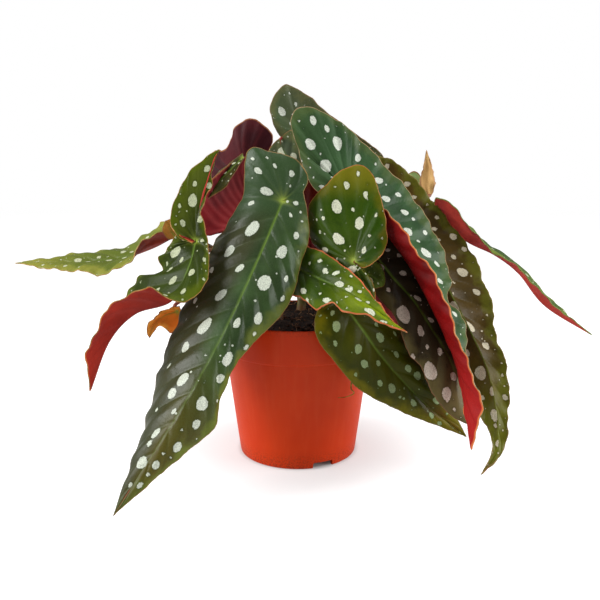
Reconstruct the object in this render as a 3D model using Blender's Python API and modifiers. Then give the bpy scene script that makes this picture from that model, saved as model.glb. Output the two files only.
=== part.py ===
"""Potted polka dot begonia: a nursery pot of peat, four canes and the leaves they carry.

The origin is on the ground under the middle of the pot, +Z is up and -Y is the front.
Lengths below are in millimetres and become metres where a mesh is made.
"""
import math

import bmesh
import bpy
from mathutils import Vector

MM = 0.001
GAP = 0.3

# Nursery pot
POT_HEIGHT = 107.0
RIM_RADIUS = 60.0
BASE_RADIUS = 45.2
BAND_HEIGHT = 81.0
RIM_STEP = 0.8
WALL = 1.1
FLOOR_HEIGHT = 5.0
FOOT_WIDTH = 3.0
NOTCH_COUNT = 2
NOTCH_WIDTH = 16.0
NOTCH_HEIGHT = 4.5
NOTCH_ANGLE = math.radians(-65.5)
DRAIN_HOLES = 6
DRAIN_RADIUS = 5.0
DRAIN_CIRCLE = 27.0
ROUND_STEPS = 40
NOTCH_REACH = 16.0
DRAIN_STEPS = 16

# Peat
SOIL_LEVEL = 98.0
SOIL_DOME = 6.0
SOIL_BOTTOM = FLOOR_HEIGHT + WALL + GAP
SOCKET_DEPTH = 14.0
SOCKET_LENGTH = 30.0
SOCKET_STEPS = 12

# Leaves
LEAF_THICKNESS = 0.8
ROW_SPACING = 14.0
BLADE_STEPS = 2
VEIN_LAG = 1.2
FULL_WIDTH = 22.0

PETIOLE_RADIUS = 1.7
JOINT_GAP = 2.4
CANE_POINTS = 8
PETIOLE_POINTS = 6


def collection(name):
    made = bpy.data.collections.new(name)
    bpy.context.scene.collection.children.link(made)
    return made


def material(name, colour, roughness):
    made = bpy.data.materials.new(name)
    made.use_nodes = True
    shader = made.node_tree.nodes["Principled BSDF"]
    shader.inputs["Base Color"].default_value = (*colour, 1.0)
    shader.inputs["Roughness"].default_value = roughness
    shader.inputs["Metallic"].default_value = 0.0
    return made


def add_object(name, mesh, finish, where):
    made = bpy.data.objects.new(name, mesh)
    where.objects.link(made)
    if finish:
        mesh.materials.append(finish)
    return made


def mesh_from(bm, name):
    bmesh.ops.scale(bm, vec=(MM, MM, MM), verts=bm.verts)
    mesh = bpy.data.meshes.new(name)
    bm.to_mesh(mesh)
    bm.free()
    return mesh


def turned(name, profile, finish, where, steps=ROUND_STEPS):
    """A solid of revolution; the profile runs down the outer side and back up the inner one."""
    bm = bmesh.new()
    verts = [bm.verts.new((radius, 0.0, height)) for radius, height in profile]
    for first, second in zip(verts, verts[1:] + verts[:1]):
        if first.co.x > 1e-6 or second.co.x > 1e-6:
            bm.edges.new((first, second))
    made = add_object(name, mesh_from(bm, name), finish, where)
    screw = made.modifiers.new("turn", "SCREW")
    screw.steps = steps
    screw.render_steps = steps
    screw.use_merge_vertices = True
    screw.merge_threshold = 0.00001
    return made


def cutter(name, bm, where):
    made = add_object(name, mesh_from(bm, name), None, where)
    made.hide_render = True
    made.display_type = "WIRE"
    return made


def cut(target, tool):
    change = target.modifiers.new("cut", "BOOLEAN")
    change.operation = "DIFFERENCE"
    change.object = tool
    return change


def smooth_line(points, count):
    """Points at even distances along the smooth curve that passes through the given points."""
    knots = [Vector(point) for point in points]
    knots = [2 * knots[0] - knots[1]] + knots + [2 * knots[-1] - knots[-2]]
    fine = []
    for index in range(1, len(knots) - 2):
        before, start, end, after = knots[index - 1:index + 3]
        for step in range(12):
            t = step / 12
            fine.append(0.5 * (2 * start + (end - before) * t
                               + (2 * before - 5 * start + 4 * end - after) * t * t
                               + (3 * start - before - 3 * end + after) * t ** 3))
    fine.append(knots[-2])
    reach = [0.0]
    for first, second in zip(fine, fine[1:]):
        reach.append(reach[-1] + (second - first).length)
    line = []
    index = 0
    for step in range(count):
        wanted = reach[-1] * step / (count - 1)
        while index < len(fine) - 2 and reach[index + 1] < wanted:
            index += 1
        share = (wanted - reach[index]) / (reach[index + 1] - reach[index])
        line.append(fine[index].lerp(fine[index + 1], share))
    return line


def length_of(points):
    return sum((Vector(b) - Vector(a)).length for a, b in zip(points, points[1:]))


def curve_share(margin, lobe):
    """How far along a margin the part that goes round the stalk ends, as a share of its length."""
    return length_of(margin[:lobe + 1]) / length_of(margin)


def half_blade(midrib, margin, fan, rows, bulge, side):
    """Rows of points from the midrib out to one margin.

    The rows that belong to the lobe all start at the stalk, like the veins they follow.
    """
    fan_rows, blade_rows = rows
    reaches = [(0.0, fan * step / fan_rows) for step in range(fan_rows)]
    for step in range(blade_rows + 1):
        share = step / blade_rows
        reaches.append((share ** VEIN_LAG, fan + (1.0 - fan) * share))
    edge = smooth_line(margin, 401)
    rib = smooth_line(midrib, 401)
    made = []
    for number, (along, around) in enumerate(reaches):
        place = round(400 * along)
        inner = rib[place]
        outer = edge[round(400 * around)]
        forward = rib[min(400, place + 8)] - rib[max(0, place - 8)]
        up = forward.cross(outer - inner) * side
        if up.length > 1e-6:
            up.normalize()
        rise = bulge * min(1.0, number / 3, (outer - inner).length / FULL_WIDTH)
        made.append([inner.lerp(outer, share) + up * rise * 4 * share * (1 - share)
                     for share in (part / BLADE_STEPS for part in range(BLADE_STEPS + 1))])
    return made


def leaf(name, shape, finish, where):
    """A blade lofted between its midrib and its two margins, with the thickness of a real leaf."""
    bm = bmesh.new()
    halves = ((-1, shape["left"], shape["lobes"][0]), (1, shape["right"], shape["lobes"][1]))
    longest = max(length_of(margin) * (1 - curve_share(margin, lobe)) for _, margin, lobe in halves)
    blade_rows = max(4, round(longest / ROW_SPACING))
    for side, margin, lobe in halves:
        fan = curve_share(margin, lobe)
        fan_rows = max(1, round(length_of(margin) * fan / ROW_SPACING)) if lobe else 0
        rows = half_blade(shape["midrib"], margin, fan, (fan_rows, blade_rows), shape["bulge"], side)
        grid = [[bm.verts.new(point) for point in row] for row in rows]
        for near, far in zip(grid, grid[1:]):
            for part in range(BLADE_STEPS):
                corners = [near[part], near[part + 1], far[part + 1], far[part]]
                if side > 0:
                    corners.reverse()
                bm.faces.new(corners)
    bmesh.ops.remove_doubles(bm, verts=bm.verts, dist=0.02)
    mesh = mesh_from(bm, name)
    made = add_object(name, mesh, finish, where)
    shell = made.modifiers.new("thickness", "SOLIDIFY")
    shell.thickness = LEAF_THICKNESS * MM
    shell.offset = 0.0
    mesh.shade_smooth()
    return made


def tube(name, points, radius, finish, where, tip=1.0):
    curve = bpy.data.curves.new(name, "CURVE")
    curve.dimensions = "3D"
    curve.bevel_depth = radius * MM
    curve.bevel_resolution = 1
    curve.use_fill_caps = True
    spline = curve.splines.new("POLY")
    spline.points.add(len(points) - 1)
    for index, point in enumerate(points):
        spline.points[index].co = (*(Vector(point) * MM), 1.0)
        spline.points[index].radius = 1.0 + (tip - 1.0) * index / (len(points) - 1)
    made = bpy.data.objects.new(name, curve)
    where.objects.link(made)
    curve.materials.append(finish)
    return made


# Each leaf's own curves: its midrib from stalk to tip, and the two margins from the notch above
# the stalk, round the lobe, to the tip. "lobes" counts the margin points that go round the stalk.
LEAVES = {
    "leaf_front_left": {
        "midrib": [(-10, -46, 195), (-24, -62, 162), (-45, -88, 117), (-71, -112, 71), (-112, -128, 8)],
        "left": [(4, -47, 201), (6, -44, 208), (-9, -40, 221), (-32, -38, 230), (-36, -38, 221),
                 (-39, -36, 196), (-58, -38, 165), (-78, -52, 124), (-91, -70, 89), (-100, -92, 49),
                 (-112, -128, 8)],
        "right": [(4, -47, 201), (7, -48, 186), (8, -52, 171), (3, -58, 155), (-7, -72, 126),
                  (-35, -88, 98), (-48, -98, 74), (-52, -106, 56), (-75, -116, 38), (-95, -124, 22),
                  (-112, -128, 8)],
        "lobes": (5, 1), "bulge": 4, "finish": "dark_leaf"},
    "leaf_left_upright": {
        "midrib": [(-69, -52, 168), (-72, -66, 152), (-83, -72, 131), (-109, -66, 121),
                   (-127, -68, 102), (-139, -76, 70)],
        "left": [(-71, -53, 167), (-83, -50, 171), (-92, -46, 159), (-96, -44, 154), (-95, -42, 146),
                 (-104, -38, 141), (-113, -34, 142), (-120, -40, 129), (-136, -56, 97),
                 (-139, -76, 70)],
        "right": [(-71, -53, 167), (-82, -52, 172), (-86, -48, 185), (-77, -42, 209), (-55, -36, 230),
                  (-58, -40, 213), (-64, -50, 186), (-59, -60, 163), (-59, -76, 144),
                  (-68, -84, 133), (-80, -86, 134), (-96, -84, 141), (-119, -84, 130),
                  (-136, -84, 100), (-139, -76, 70)],
        "lobes": (2, 7), "bulge": 2, "finish": "olive_leaf"},
    "leaf_far_left": {
        "midrib": [(-93, 4, 167), (-113, 6, 157), (-138, 12, 149), (-172, 20, 145), (-228, 30, 143)],
        "left": [(-94, 6, 170), (-103, 16, 177), (-120, 30, 167), (-141, 34, 155), (-171, 36, 151),
                 (-200, 34, 147), (-228, 30, 143)],
        "right": [(-94, 2, 170), (-104, -10, 171), (-116, -14, 163), (-123, -14, 151),
                  (-145, -8, 139), (-167, 2, 140), (-194, 14, 140), (-228, 30, 143)],
        "lobes": (1, 1), "bulge": 2, "finish": "bright_leaf"},
    "leaf_back_left": {
        "midrib": [(-41, 42, 218), (-57, 62, 215), (-74, 92, 207), (-92, 128, 190)],
        "right": [(-24, 40, 228), (-20, 38, 243), (-34, 38, 256), (-48, 42, 251), (-58, 52, 234),
                 (-71, 72, 232), (-86, 102, 219), (-92, 128, 190)],
        "left": [(-24, 40, 228), (-32, 42, 215), (-48, 52, 207), (-66, 78, 198), (-82, 106, 191),
                  (-92, 128, 190)],
        "lobes": (1, 3), "bulge": -3, "finish": "maroon_leaf"},
    "leaf_back_left_lower": {
        "midrib": [(-54, -4, 172), (-45, 6, 186), (-36, 22, 205), (-29, 40, 224)],
        "left": [(-57, -4, 170), (-67, -10, 170), (-68, -10, 175), (-67, -10, 184), (-60, -6, 196),
                 (-50, 4, 209), (-41, 20, 222), (-29, 40, 224)],
        "right": [(-57, -4, 170), (-47, 2, 167), (-33, 14, 177), (-24, 30, 197), (-29, 40, 224)],
        "lobes": (1, 1), "bulge": 2, "finish": "maroon_leaf"},
    "leaf_back_left_fold": {
        "midrib": [(-41, 10, 226), (-52, 6, 215), (-61, 2, 205), (-68, -2, 194)],
        "left": [(-42, 14, 229), (-53, 16, 221), (-64, 14, 210), (-68, -2, 194)],
        "right": [(-40, 8, 226), (-46, 2, 216), (-53, -2, 204), (-62, -4, 198), (-68, -2, 194)],
        "lobes": (0, 0), "bulge": 1, "finish": "olive_leaf"},
    "leaf_top": {
        "midrib": [(4, 42, 249), (24, 52, 247), (44, 58, 236), (68, 60, 217)],
        "right": [(-5, 44, 235), (-17, 44, 247), (-22, 44, 265), (-12, 46, 282), (2, 48, 279),
                 (28, 52, 259), (54, 58, 241), (71, 62, 228), (68, 60, 217)],
        "left": [(-5, 44, 235), (8, 40, 231), (26, 42, 224), (47, 50, 215), (68, 60, 217)],
        "lobes": (1, 4), "bulge": -4, "finish": "dark_leaf"},
    "leaf_right_large": {
        "midrib": [(38, -18, 197), (53, -24, 184), (65, -34, 169), (79, -48, 148), (94, -68, 117),
                   (107, -84, 82), (113, -96, 37)],
        "right": [(33, -20, 191), (16, -18, 199), (7, -12, 210), (0, -4, 231), (-5, 2, 253),
                 (4, 6, 262), (26, 10, 255), (49, 10, 237), (66, 8, 219), (83, 4, 201),
                 (101, -4, 173), (110, -12, 151), (112, -22, 135), (108, -30, 126),
                 (116, -34, 115), (120, -46, 101), (113, -62, 86), (110, -80, 69), (113, -96, 37)],
        "left": [(33, -20, 191), (21, -20, 192), (10, -22, 188), (7, -25, 174), (14, -29, 163),
                 (30, -32, 168), (45, -36, 180), (58, -44, 190), (69, -52, 179), (80, -64, 162),
                 (90, -76, 147), (98, -88, 124), (106, -98, 99), (115, -104, 75),
                 (115, -103, 58), (113, -96, 37)],
        "lobes": (5, 7), "bulge": -3, "finish": "dark_leaf", "under": (0.0, 0.95, -0.3)},
    "leaf_right_outer": {
        "midrib": [(64, 22, 193), (97, 4, 156), (120, -18, 114), (136, -36, 78), (140, -50, 55),
                   (140, -62, 37), (137, -71, 22), (125, -78, 11)],
        "left": [(58, 20, 182), (79, 10, 155), (97, -4, 119), (106, -20, 84), (119, -34, 62),
                 (128, -50, 46), (134, -61, 36), (134, -70, 24), (125, -78, 11)],
        "right": [(58, 20, 182), (50, 24, 193), (54, 34, 224), (68, 36, 227), (87, 32, 215),
                  (106, 26, 193), (122, 18, 172), (136, 10, 152), (142, 0, 133), (148, -12, 112),
                  (146, -18, 101), (152, -32, 78), (152, -44, 59), (148, -57, 42), (143, -68, 25),
                  (125, -78, 11)],
        "lobes": (0, 3), "bulge": -3, "finish": "brown_leaf"},
    "leaf_right_folded": {
        "midrib": [(53, -26, 159), (68, -40, 140), (80, -48, 127), (91, -58, 110), (104, -68, 87),
                   (118, -80, 46)],
        "left": [(49, -26, 166), (44, -24, 158), (46, -32, 141), (56, -46, 128), (64, -56, 120),
                 (70, -62, 108), (75, -68, 93), (86, -70, 90), (96, -76, 73), (109, -80, 59),
                 (118, -80, 46)],
        "right": [(49, -26, 166), (58, -22, 175), (69, -22, 170), (83, -24, 155), (97, -30, 131),
                  (107, -38, 109), (115, -50, 90), (119, -62, 70), (118, -80, 46)],
        "lobes": (1, 1), "bulge": 2, "finish": "brown_leaf"},
    "leaf_centre_upright": {
        "midrib": [(37, -66, 156), (41, -69, 146), (44, -70, 135), (47, -72, 124)],
        "left": [(39, -66, 154), (45, -66, 152), (55, -58, 158), (61, -52, 167), (60, -50, 179),
                 (56, -50, 198), (49, -48, 214), (40, -46, 219), (28, -44, 214), (17, -42, 203),
                 (8, -38, 192), (7, -36, 176), (13, -42, 162), (26, -52, 147), (36, -64, 134),
                 (47, -72, 124)],
        "right": [(39, -66, 154), (47, -68, 146), (51, -69, 138), (51, -71, 129), (47, -72, 124)],
        "lobes": (12, 1), "bulge": 3, "finish": "bright_leaf"},
    "leaf_centre_front": {
        "midrib": [(-4, -42, 150), (15, -64, 144), (35, -85, 137), (51, -98, 128), (67, -108, 118)],
        "left": [(-9, -42, 144), (-9, -50, 132), (1, -64, 132), (12, -82, 127), (21, -90, 132),
                 (30, -100, 129), (42, -104, 127), (55, -108, 122), (67, -108, 118)],
        "right": [(-9, -42, 144), (-12, -36, 157), (2, -44, 164), (16, -55, 162), (28, -65, 155),
                  (40, -78, 146), (50, -90, 134), (59, -102, 124), (67, -108, 118)],
        "lobes": (1, 1), "bulge": 2, "finish": "bright_leaf"},
    "leaf_lower_right": {
        "midrib": [(30, -60, 128), (43, -70, 111), (61, -66, 86), (88, -58, 56), (121, -52, 28)],
        "left": [(37, -52, 133), (22, -60, 132), (12, -70, 120), (13, -76, 106), (24, -76, 91),
                 (39, -72, 72), (57, -66, 59), (81, -60, 46), (121, -52, 28)],
        "right": [(37, -52, 133), (51, -50, 127), (68, -50, 112), (85, -50, 88), (100, -52, 66),
                  (114, -52, 41), (121, -52, 28)],
        "lobes": (2, 1), "bulge": 3, "finish": "olive_leaf"},
    "leaf_far_right": {
        "midrib": [(118, 30, 173), (136, 24, 160), (155, 18, 151), (173, 12, 137), (192, 4, 113),
                   (224, -10, 93)],
        "left": [(113, 30, 184), (107, 24, 191), (109, 20, 196), (120, 14, 189), (133, 8, 172),
                 (146, 6, 158), (156, 4, 151), (171, 2, 141), (187, -4, 123), (204, -8, 108),
                 (224, -10, 93)],
        "right": [(113, 30, 184), (121, 46, 188), (135, 48, 178), (150, 44, 162), (165, 38, 150),
                  (179, 30, 140), (199, 18, 118), (213, 4, 103), (224, -10, 93)],
        "lobes": (2, 1), "bulge": 2, "finish": "maroon_leaf"},
    "leaf_middle_back": {
        "midrib": [(2, 14, 218), (-6, 14, 224), (-11, 18, 231), (-14, 24, 240)],
        "right": [(-1, 12, 212), (-16, 10, 216), (-23, 14, 227), (-19, 20, 236), (-12, 26, 242),
                 (-14, 24, 240)],
        "left": [(-1, 12, 212), (6, 16, 218), (3, 22, 233), (-4, 28, 247), (-14, 24, 240)],
        "lobes": (1, 1), "bulge": -2, "finish": "olive_leaf"},
    "leaf_inner_small": {
        "midrib": [(45, -46, 146), (50, -48, 144), (55, -50, 141), (57, -50, 136)],
        "left": [(43, -46, 148), (42, -46, 139), (47, -48, 135), (53, -50, 135), (57, -50, 136)],
        "right": [(43, -46, 148), (49, -42, 153), (57, -40, 152), (61, -44, 143), (60, -48, 137),
                  (57, -50, 136)],
        "lobes": (1, 1), "bulge": 1, "finish": "olive_leaf"},
    "dry_sheath": {
        "midrib": [(109, 61, 196), (108, 61, 205), (108, 60, 218), (106, 60, 233)],
        "left": [(109, 62, 193), (102, 60, 204), (103, 60, 214), (104, 60, 222), (106, 60, 233)],
        "right": [(109, 62, 193), (113, 62, 198), (114, 62, 209), (111, 61, 221), (106, 60, 233)],
        "lobes": (0, 0), "bulge": 1, "finish": "dry_leaf"},
    "leaf_withered": {
        "midrib": [(-89, -20, 113), (-96, -26, 112), (-104, -30, 106), (-107, -34, 96)],
        "left": [(-87, -20, 117), (-96, -28, 116), (-105, -32, 110), (-109, -34, 101),
                 (-107, -34, 96)],
        "right": [(-87, -20, 117), (-85, -14, 101), (-93, -20, 97), (-101, -26, 103),
                  (-107, -34, 96)],
        "lobes": (1, 1), "bulge": 1, "finish": "dry_leaf"},
    "leaf_tiny_right": {
        "midrib": [(106, 66, 204), (100, 66, 209), (93, 66, 214)],
        "left": [(106, 66, 204), (98, 68, 205), (93, 68, 210), (93, 66, 214)],
        "right": [(106, 66, 204), (102, 64, 213), (97, 64, 216), (93, 66, 214)],
        "lobes": (0, 0), "bulge": 1, "finish": "olive_leaf"},
    "bract_left": {
        "midrib": [(-89, -14, 167), (-92, -20, 173), (-95, -22, 180)],
        "left": [(-89, -14, 167), (-88, -12, 174), (-90, -18, 181), (-95, -22, 180)],
        "right": [(-89, -14, 167), (-94, -18, 166), (-97, -24, 173), (-95, -22, 180)],
        "lobes": (0, 0), "bulge": 1, "finish": "dry_leaf"},
}

# The two halves of a leaf that hangs freely, as shares of its length and of its half width.
WIDE_HALF = [(-0.05, 0.0), (-0.22, 0.26), (-0.26, 0.66), (-0.10, 1.0), (0.16, 1.04), (0.44, 0.76),
             (0.74, 0.36), (1.0, 0.0)]
NARROW_HALF = [(-0.05, 0.0), (-0.10, 0.34), (0.04, 0.70), (0.30, 0.76), (0.56, 0.54), (0.80, 0.27),
               (1.0, 0.0)]

# Leaves that hang behind the pot: stalk end, tip, rise of the arch, half width, wide side.
HANGING = {
    "leaf_back_middle": ((0, 76, 172), (-36, 127, 26), 12, 38, -1),
    "leaf_back_right": ((54, 68, 148), (100, 126, 46), 12, 28, 1),
    "leaf_back_low_left": ((-56, 76, 158), (-104, 126, 54), 12, 30, 1),
    "leaf_back_far_right": ((102, 46, 146), (152, 98, 84), 12, 24, -1),
}


def hanging_shape(stalk, tip, rise, width, wide_side):
    """Midrib and margins of an arched leaf between its stalk and its tip."""
    start = Vector(stalk)
    chord = Vector(tip) - start
    forward = chord.normalized()
    up = (Vector((0, 0, 1)) - forward * forward.z).normalized()
    across = forward.cross(up)

    def spot(along, out):
        arch = rise * 4 * max(0.0, along) * (1 - along)
        return start + chord * along + up * (arch - 0.3 * width * out * out) + across * width * out

    halves = {side: [spot(along, side * out) for along, out in outline]
              for side, outline in ((wide_side, WIDE_HALF), (-wide_side, NARROW_HALF))}
    return {
        "midrib": [spot(share / 5, 0.0) for share in range(6)],
        "left": halves[1], "right": halves[-1],
        "lobes": (4, 2) if wide_side > 0 else (2, 4),
        "bulge": 2, "finish": "dark_leaf"}


def pot_radius(height):
    """Outer radius of the tapering pot, which steps out above the lower edge of its rim band."""
    slope = (RIM_RADIUS - RIM_STEP - BASE_RADIUS) / POT_HEIGHT
    step = RIM_STEP if height > BAND_HEIGHT else 0.0
    return BASE_RADIUS + slope * height + step


def make_pot(where, tools):
    inside = FLOOR_HEIGHT + WALL
    profile = [
        (RIM_RADIUS - 0.4, POT_HEIGHT), (RIM_RADIUS, POT_HEIGHT - 0.8),
        (pot_radius(BAND_HEIGHT + 1), BAND_HEIGHT + 1), (pot_radius(BAND_HEIGHT), BAND_HEIGHT),
        (pot_radius(4), 4), (BASE_RADIUS - 0.4, 0.0), (BASE_RADIUS - FOOT_WIDTH, 0.0),
        (BASE_RADIUS - FOOT_WIDTH - 0.8, FLOOR_HEIGHT), (0.0, FLOOR_HEIGHT), (0.0, inside),
        (pot_radius(inside) - WALL, inside), (pot_radius(BAND_HEIGHT) - WALL, BAND_HEIGHT),
        (pot_radius(BAND_HEIGHT + 1) - WALL, BAND_HEIGHT + 1), (RIM_RADIUS - WALL, POT_HEIGHT)]
    pot = turned("pot", profile, material("pot_plastic", (0.62, 0.10, 0.035), 0.42), where)
    for index in range(NOTCH_COUNT):
        angle = NOTCH_ANGLE + index * 2 * math.pi / NOTCH_COUNT
        bm = bmesh.new()
        bmesh.ops.create_cube(bm, size=1.0)
        bmesh.ops.scale(bm, vec=(NOTCH_REACH, NOTCH_WIDTH, 2 * NOTCH_HEIGHT), verts=bm.verts)
        tool = cutter(f"notch_cutter_{index}", bm, tools)
        tool.location = (BASE_RADIUS * math.cos(angle) * MM, BASE_RADIUS * math.sin(angle) * MM, 0)
        tool.rotation_euler = (0, 0, angle)
        cut(pot, tool)
    for index in range(DRAIN_HOLES):
        angle = (index + 0.5) * 2 * math.pi / DRAIN_HOLES
        bm = bmesh.new()
        bmesh.ops.create_cone(bm, cap_ends=True, segments=DRAIN_STEPS, radius1=DRAIN_RADIUS,
                              radius2=DRAIN_RADIUS, depth=FLOOR_HEIGHT + WALL)
        tool = cutter(f"drain_cutter_{index}", bm, tools)
        tool.location = (DRAIN_CIRCLE * math.cos(angle) * MM, DRAIN_CIRCLE * math.sin(angle) * MM,
                         (FLOOR_HEIGHT + WALL / 2) * MM)
        cut(pot, tool)
    return pot


# The root and the top of each cane, and its radius.
CANES = {
    "cane_front": ((-14, -12, 0), (-26, -14, 168), 4.0),
    "cane_right": ((16, -6, 0), (34, 2, 160), 4.2),
    "cane_back": ((2, 20, 0), (10, 34, 178), 4.0),
    "cane_left": ((-22, 12, 0), (-58, 26, 150), 3.6),
}

# The cane that each leaf's stalk leaves, and at what share of the cane's length.
STALKS = {
    "leaf_front_left": ("cane_front", 0.95),
    "leaf_left_upright": ("cane_left", 0.90),
    "leaf_far_left": ("cane_left", 0.56),
    "leaf_back_left": ("cane_left", 1.0),
    "leaf_back_left_lower": ("cane_left", 0.80),
    "leaf_top": ("cane_back", 1.0),
    "leaf_right_large": ("cane_right", 1.0),
    "leaf_right_outer": ("cane_right", 0.86),
    "leaf_right_folded": ("cane_right", 0.74),
    "leaf_centre_upright": ("cane_right", 0.56),
    "leaf_centre_front": ("cane_front", 0.75),
    "leaf_lower_right": ("cane_right", 0.45),
    "leaf_far_right": ("cane_back", 0.72),
    "leaf_middle_back": ("cane_front", 1.0),
    "leaf_inner_small": ("cane_right", 0.66),
    "leaf_back_middle": ("cane_back", 0.78),
    "leaf_back_right": ("cane_back", 0.62),
    "leaf_back_low_left": ("cane_left", 0.60),
    "leaf_back_far_right": ("cane_back", 0.54),
    "leaf_withered": ("cane_left", 0.34),
    "dry_sheath": ("cane_back", 0.86),
    "bract_left": ("cane_left", 0.97),
}


def cane_line(root, top):
    """Points up a cane: upright out of the peat, leaning further over as it climbs."""
    start = Vector((root[0], root[1], SOIL_LEVEL - SOCKET_DEPTH + GAP))
    end = Vector(top)
    lean = Vector((end.x - start.x, end.y - start.y, 0))
    line = []
    for step in range(CANE_POINTS):
        share = step / (CANE_POINTS - 1)
        bend = max(0.0, (share - 0.2) / 0.8) ** 1.4
        sway = lean.cross(Vector((0, 0, 1))) * (bend * (1 - bend))
        line.append(start + lean * bend + sway + Vector((0, 0, (end.z - start.z) * share)))
    return line


def stalk_line(cane, share, joint, under):
    """Points from a cane's side up and over to the underside of a leaf's stalk joint."""
    root, top, radius = CANES[cane]
    line = smooth_line(cane_line(root, top), 101)
    origin = line[round(100 * share)]
    out = joint - origin
    out.z = 0.0
    out.normalize()
    start = origin + out * (radius + GAP + PETIOLE_RADIUS)
    end = joint + under * JOINT_GAP
    reach = (end - start).length
    first = start + (out * 0.55 + Vector((0, 0, 0.8))) * reach * 0.35
    last = end + under * reach * 0.35
    points = []
    for step in range(PETIOLE_POINTS):
        t = step / (PETIOLE_POINTS - 1)
        points.append(start * (1 - t) ** 3 + first * 3 * t * (1 - t) ** 2
                      + last * 3 * t * t * (1 - t) + end * t ** 3)
    return points


def under_joint(made, joint):
    """The direction that the underside faces where the stalk meets the blade."""
    nearest = min(made.data.vertices, key=lambda vert: (vert.co / MM - joint).length)
    return -nearest.normal


def make_soil(where, tools):
    clear = WALL + GAP
    rim = SOIL_LEVEL - 1.5
    profile = [(0.0, SOIL_LEVEL + SOIL_DOME), (24.0, SOIL_LEVEL + SOIL_DOME - 0.8),
               (44.0, SOIL_LEVEL + 0.5), (pot_radius(rim) - clear, rim),
               (pot_radius(BAND_HEIGHT + 1) - clear, BAND_HEIGHT + 1.3),
               (pot_radius(BAND_HEIGHT) - clear, BAND_HEIGHT - 0.2),
               (pot_radius(SOIL_BOTTOM) - clear, SOIL_BOTTOM), (0.0, SOIL_BOTTOM)]
    soil = turned("potting_soil", profile, material("peat", (0.025, 0.017, 0.012), 0.95), where)
    for name, (root, _, radius) in CANES.items():
        bm = bmesh.new()
        bmesh.ops.create_cone(bm, cap_ends=True, segments=SOCKET_STEPS, radius1=radius + 1.0,
                              radius2=radius + 2.6, depth=SOCKET_LENGTH)
        tool = cutter(f"{name}_socket", bm, tools)
        middle = SOIL_LEVEL - SOCKET_DEPTH + SOCKET_LENGTH / 2
        tool.location = (root[0] * MM, root[1] * MM, middle * MM)
        cut(soil, tool)
    return soil


def main():
    for old in list(bpy.data.objects):
        bpy.data.objects.remove(old, do_unlink=True)
    parts = collection("potted_polka_dot_begonia")
    tools = collection("cutters")
    finishes = {
        "dark_leaf": material("dark_leaf", (0.045, 0.085, 0.040), 0.45),
        "olive_leaf": material("olive_leaf", (0.085, 0.110, 0.020), 0.45),
        "bright_leaf": material("bright_leaf", (0.130, 0.200, 0.020), 0.45),
        "brown_leaf": material("brown_leaf", (0.060, 0.050, 0.025), 0.45),
        "maroon_leaf": material("maroon_leaf", (0.180, 0.010, 0.015), 0.50),
        "dry_leaf": material("dry_leaf", (0.420, 0.190, 0.060), 0.70)}
    stem = material("stem", (0.110, 0.100, 0.025), 0.55)
    make_pot(parts, tools)
    make_soil(parts, tools)
    for name, (root, top, radius) in CANES.items():
        tube(name, cane_line(root, top), radius, stem, parts, tip=0.7)
    shapes = dict(LEAVES)
    shapes.update({name: hanging_shape(*values) for name, values in HANGING.items()})
    for name, shape in shapes.items():
        made = leaf(name, shape, finishes[shape["finish"]], parts)
        if name in STALKS:
            joint = Vector(shape["midrib"][0])
            under = Vector(shape["under"]) if "under" in shape else under_joint(made, joint)
            line = stalk_line(*STALKS[name], joint, under)
            stalk = f"stalk_{name.removeprefix('leaf_')}"
            tube(stalk, line, PETIOLE_RADIUS, stem, parts, tip=0.6)


main()
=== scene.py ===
import math
import random

import bpy
import numpy as np
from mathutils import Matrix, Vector, noise


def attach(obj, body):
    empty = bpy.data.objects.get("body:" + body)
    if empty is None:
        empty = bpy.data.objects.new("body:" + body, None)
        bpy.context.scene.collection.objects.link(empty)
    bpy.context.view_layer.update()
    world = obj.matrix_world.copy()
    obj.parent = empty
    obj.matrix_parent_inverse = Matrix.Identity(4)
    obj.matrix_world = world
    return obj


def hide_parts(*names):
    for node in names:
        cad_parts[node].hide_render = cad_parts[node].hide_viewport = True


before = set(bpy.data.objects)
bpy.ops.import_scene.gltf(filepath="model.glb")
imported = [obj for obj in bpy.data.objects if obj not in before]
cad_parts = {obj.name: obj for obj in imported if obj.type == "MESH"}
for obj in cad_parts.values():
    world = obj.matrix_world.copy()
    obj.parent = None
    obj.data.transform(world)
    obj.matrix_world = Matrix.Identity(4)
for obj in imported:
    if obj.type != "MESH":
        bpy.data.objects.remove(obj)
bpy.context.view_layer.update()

mm = 0.001
studio = {
    "cameraPlace": (1.7, -500, 209.5), "cameraPitch": 0.181, "lens": 39.72,
    "floorSize": 8.0, "floorColor": (0.5, 0.5, 0.5), "floorGlow": 1.72, "floorGlowLow": 0.5,
    "underShade": (0.040, 0.050, 0.05, 1.0),
    "contactShade": (0.044, 0.13, 0.62, 1.0),
    "skyColor": (1.0, 1.0, 1.0), "skyStrength": 0.26,
    "keyPlace": (-1.2, -0.35, 0.65), "keySize": 0.7, "keyPower": 19,
    "topPlace": (0.1, 0.1, 1.5), "topSize": 1.2, "topPower": 8,
    "fillPlace": (1.2, -0.3, 0.5), "fillSize": 0.8, "fillPower": 17,
}


# shared shader groups

def tone(red, green, blue):
    # a colour written as 0-255 screen values, as the shader wants it
    def straight(value):
        value = value / 255
        return value / 12.92 if value <= 0.04045 else ((value + 0.055) / 1.055) ** 2.4
    return (straight(red), straight(green), straight(blue), 1.0)


def newGroup(name, inputs, outputs):
    group = bpy.data.node_groups.new(name, "ShaderNodeTree")
    for label, kind, value in inputs:
        socket = group.interface.new_socket(name=label, in_out="INPUT", socket_type=kind)
        if value is not None:
            socket.default_value = value
    for label, kind in outputs:
        group.interface.new_socket(name=label, in_out="OUTPUT", socket_type=kind)
    return group, group.nodes.new("NodeGroupInput"), group.nodes.new("NodeGroupOutput")


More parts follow.
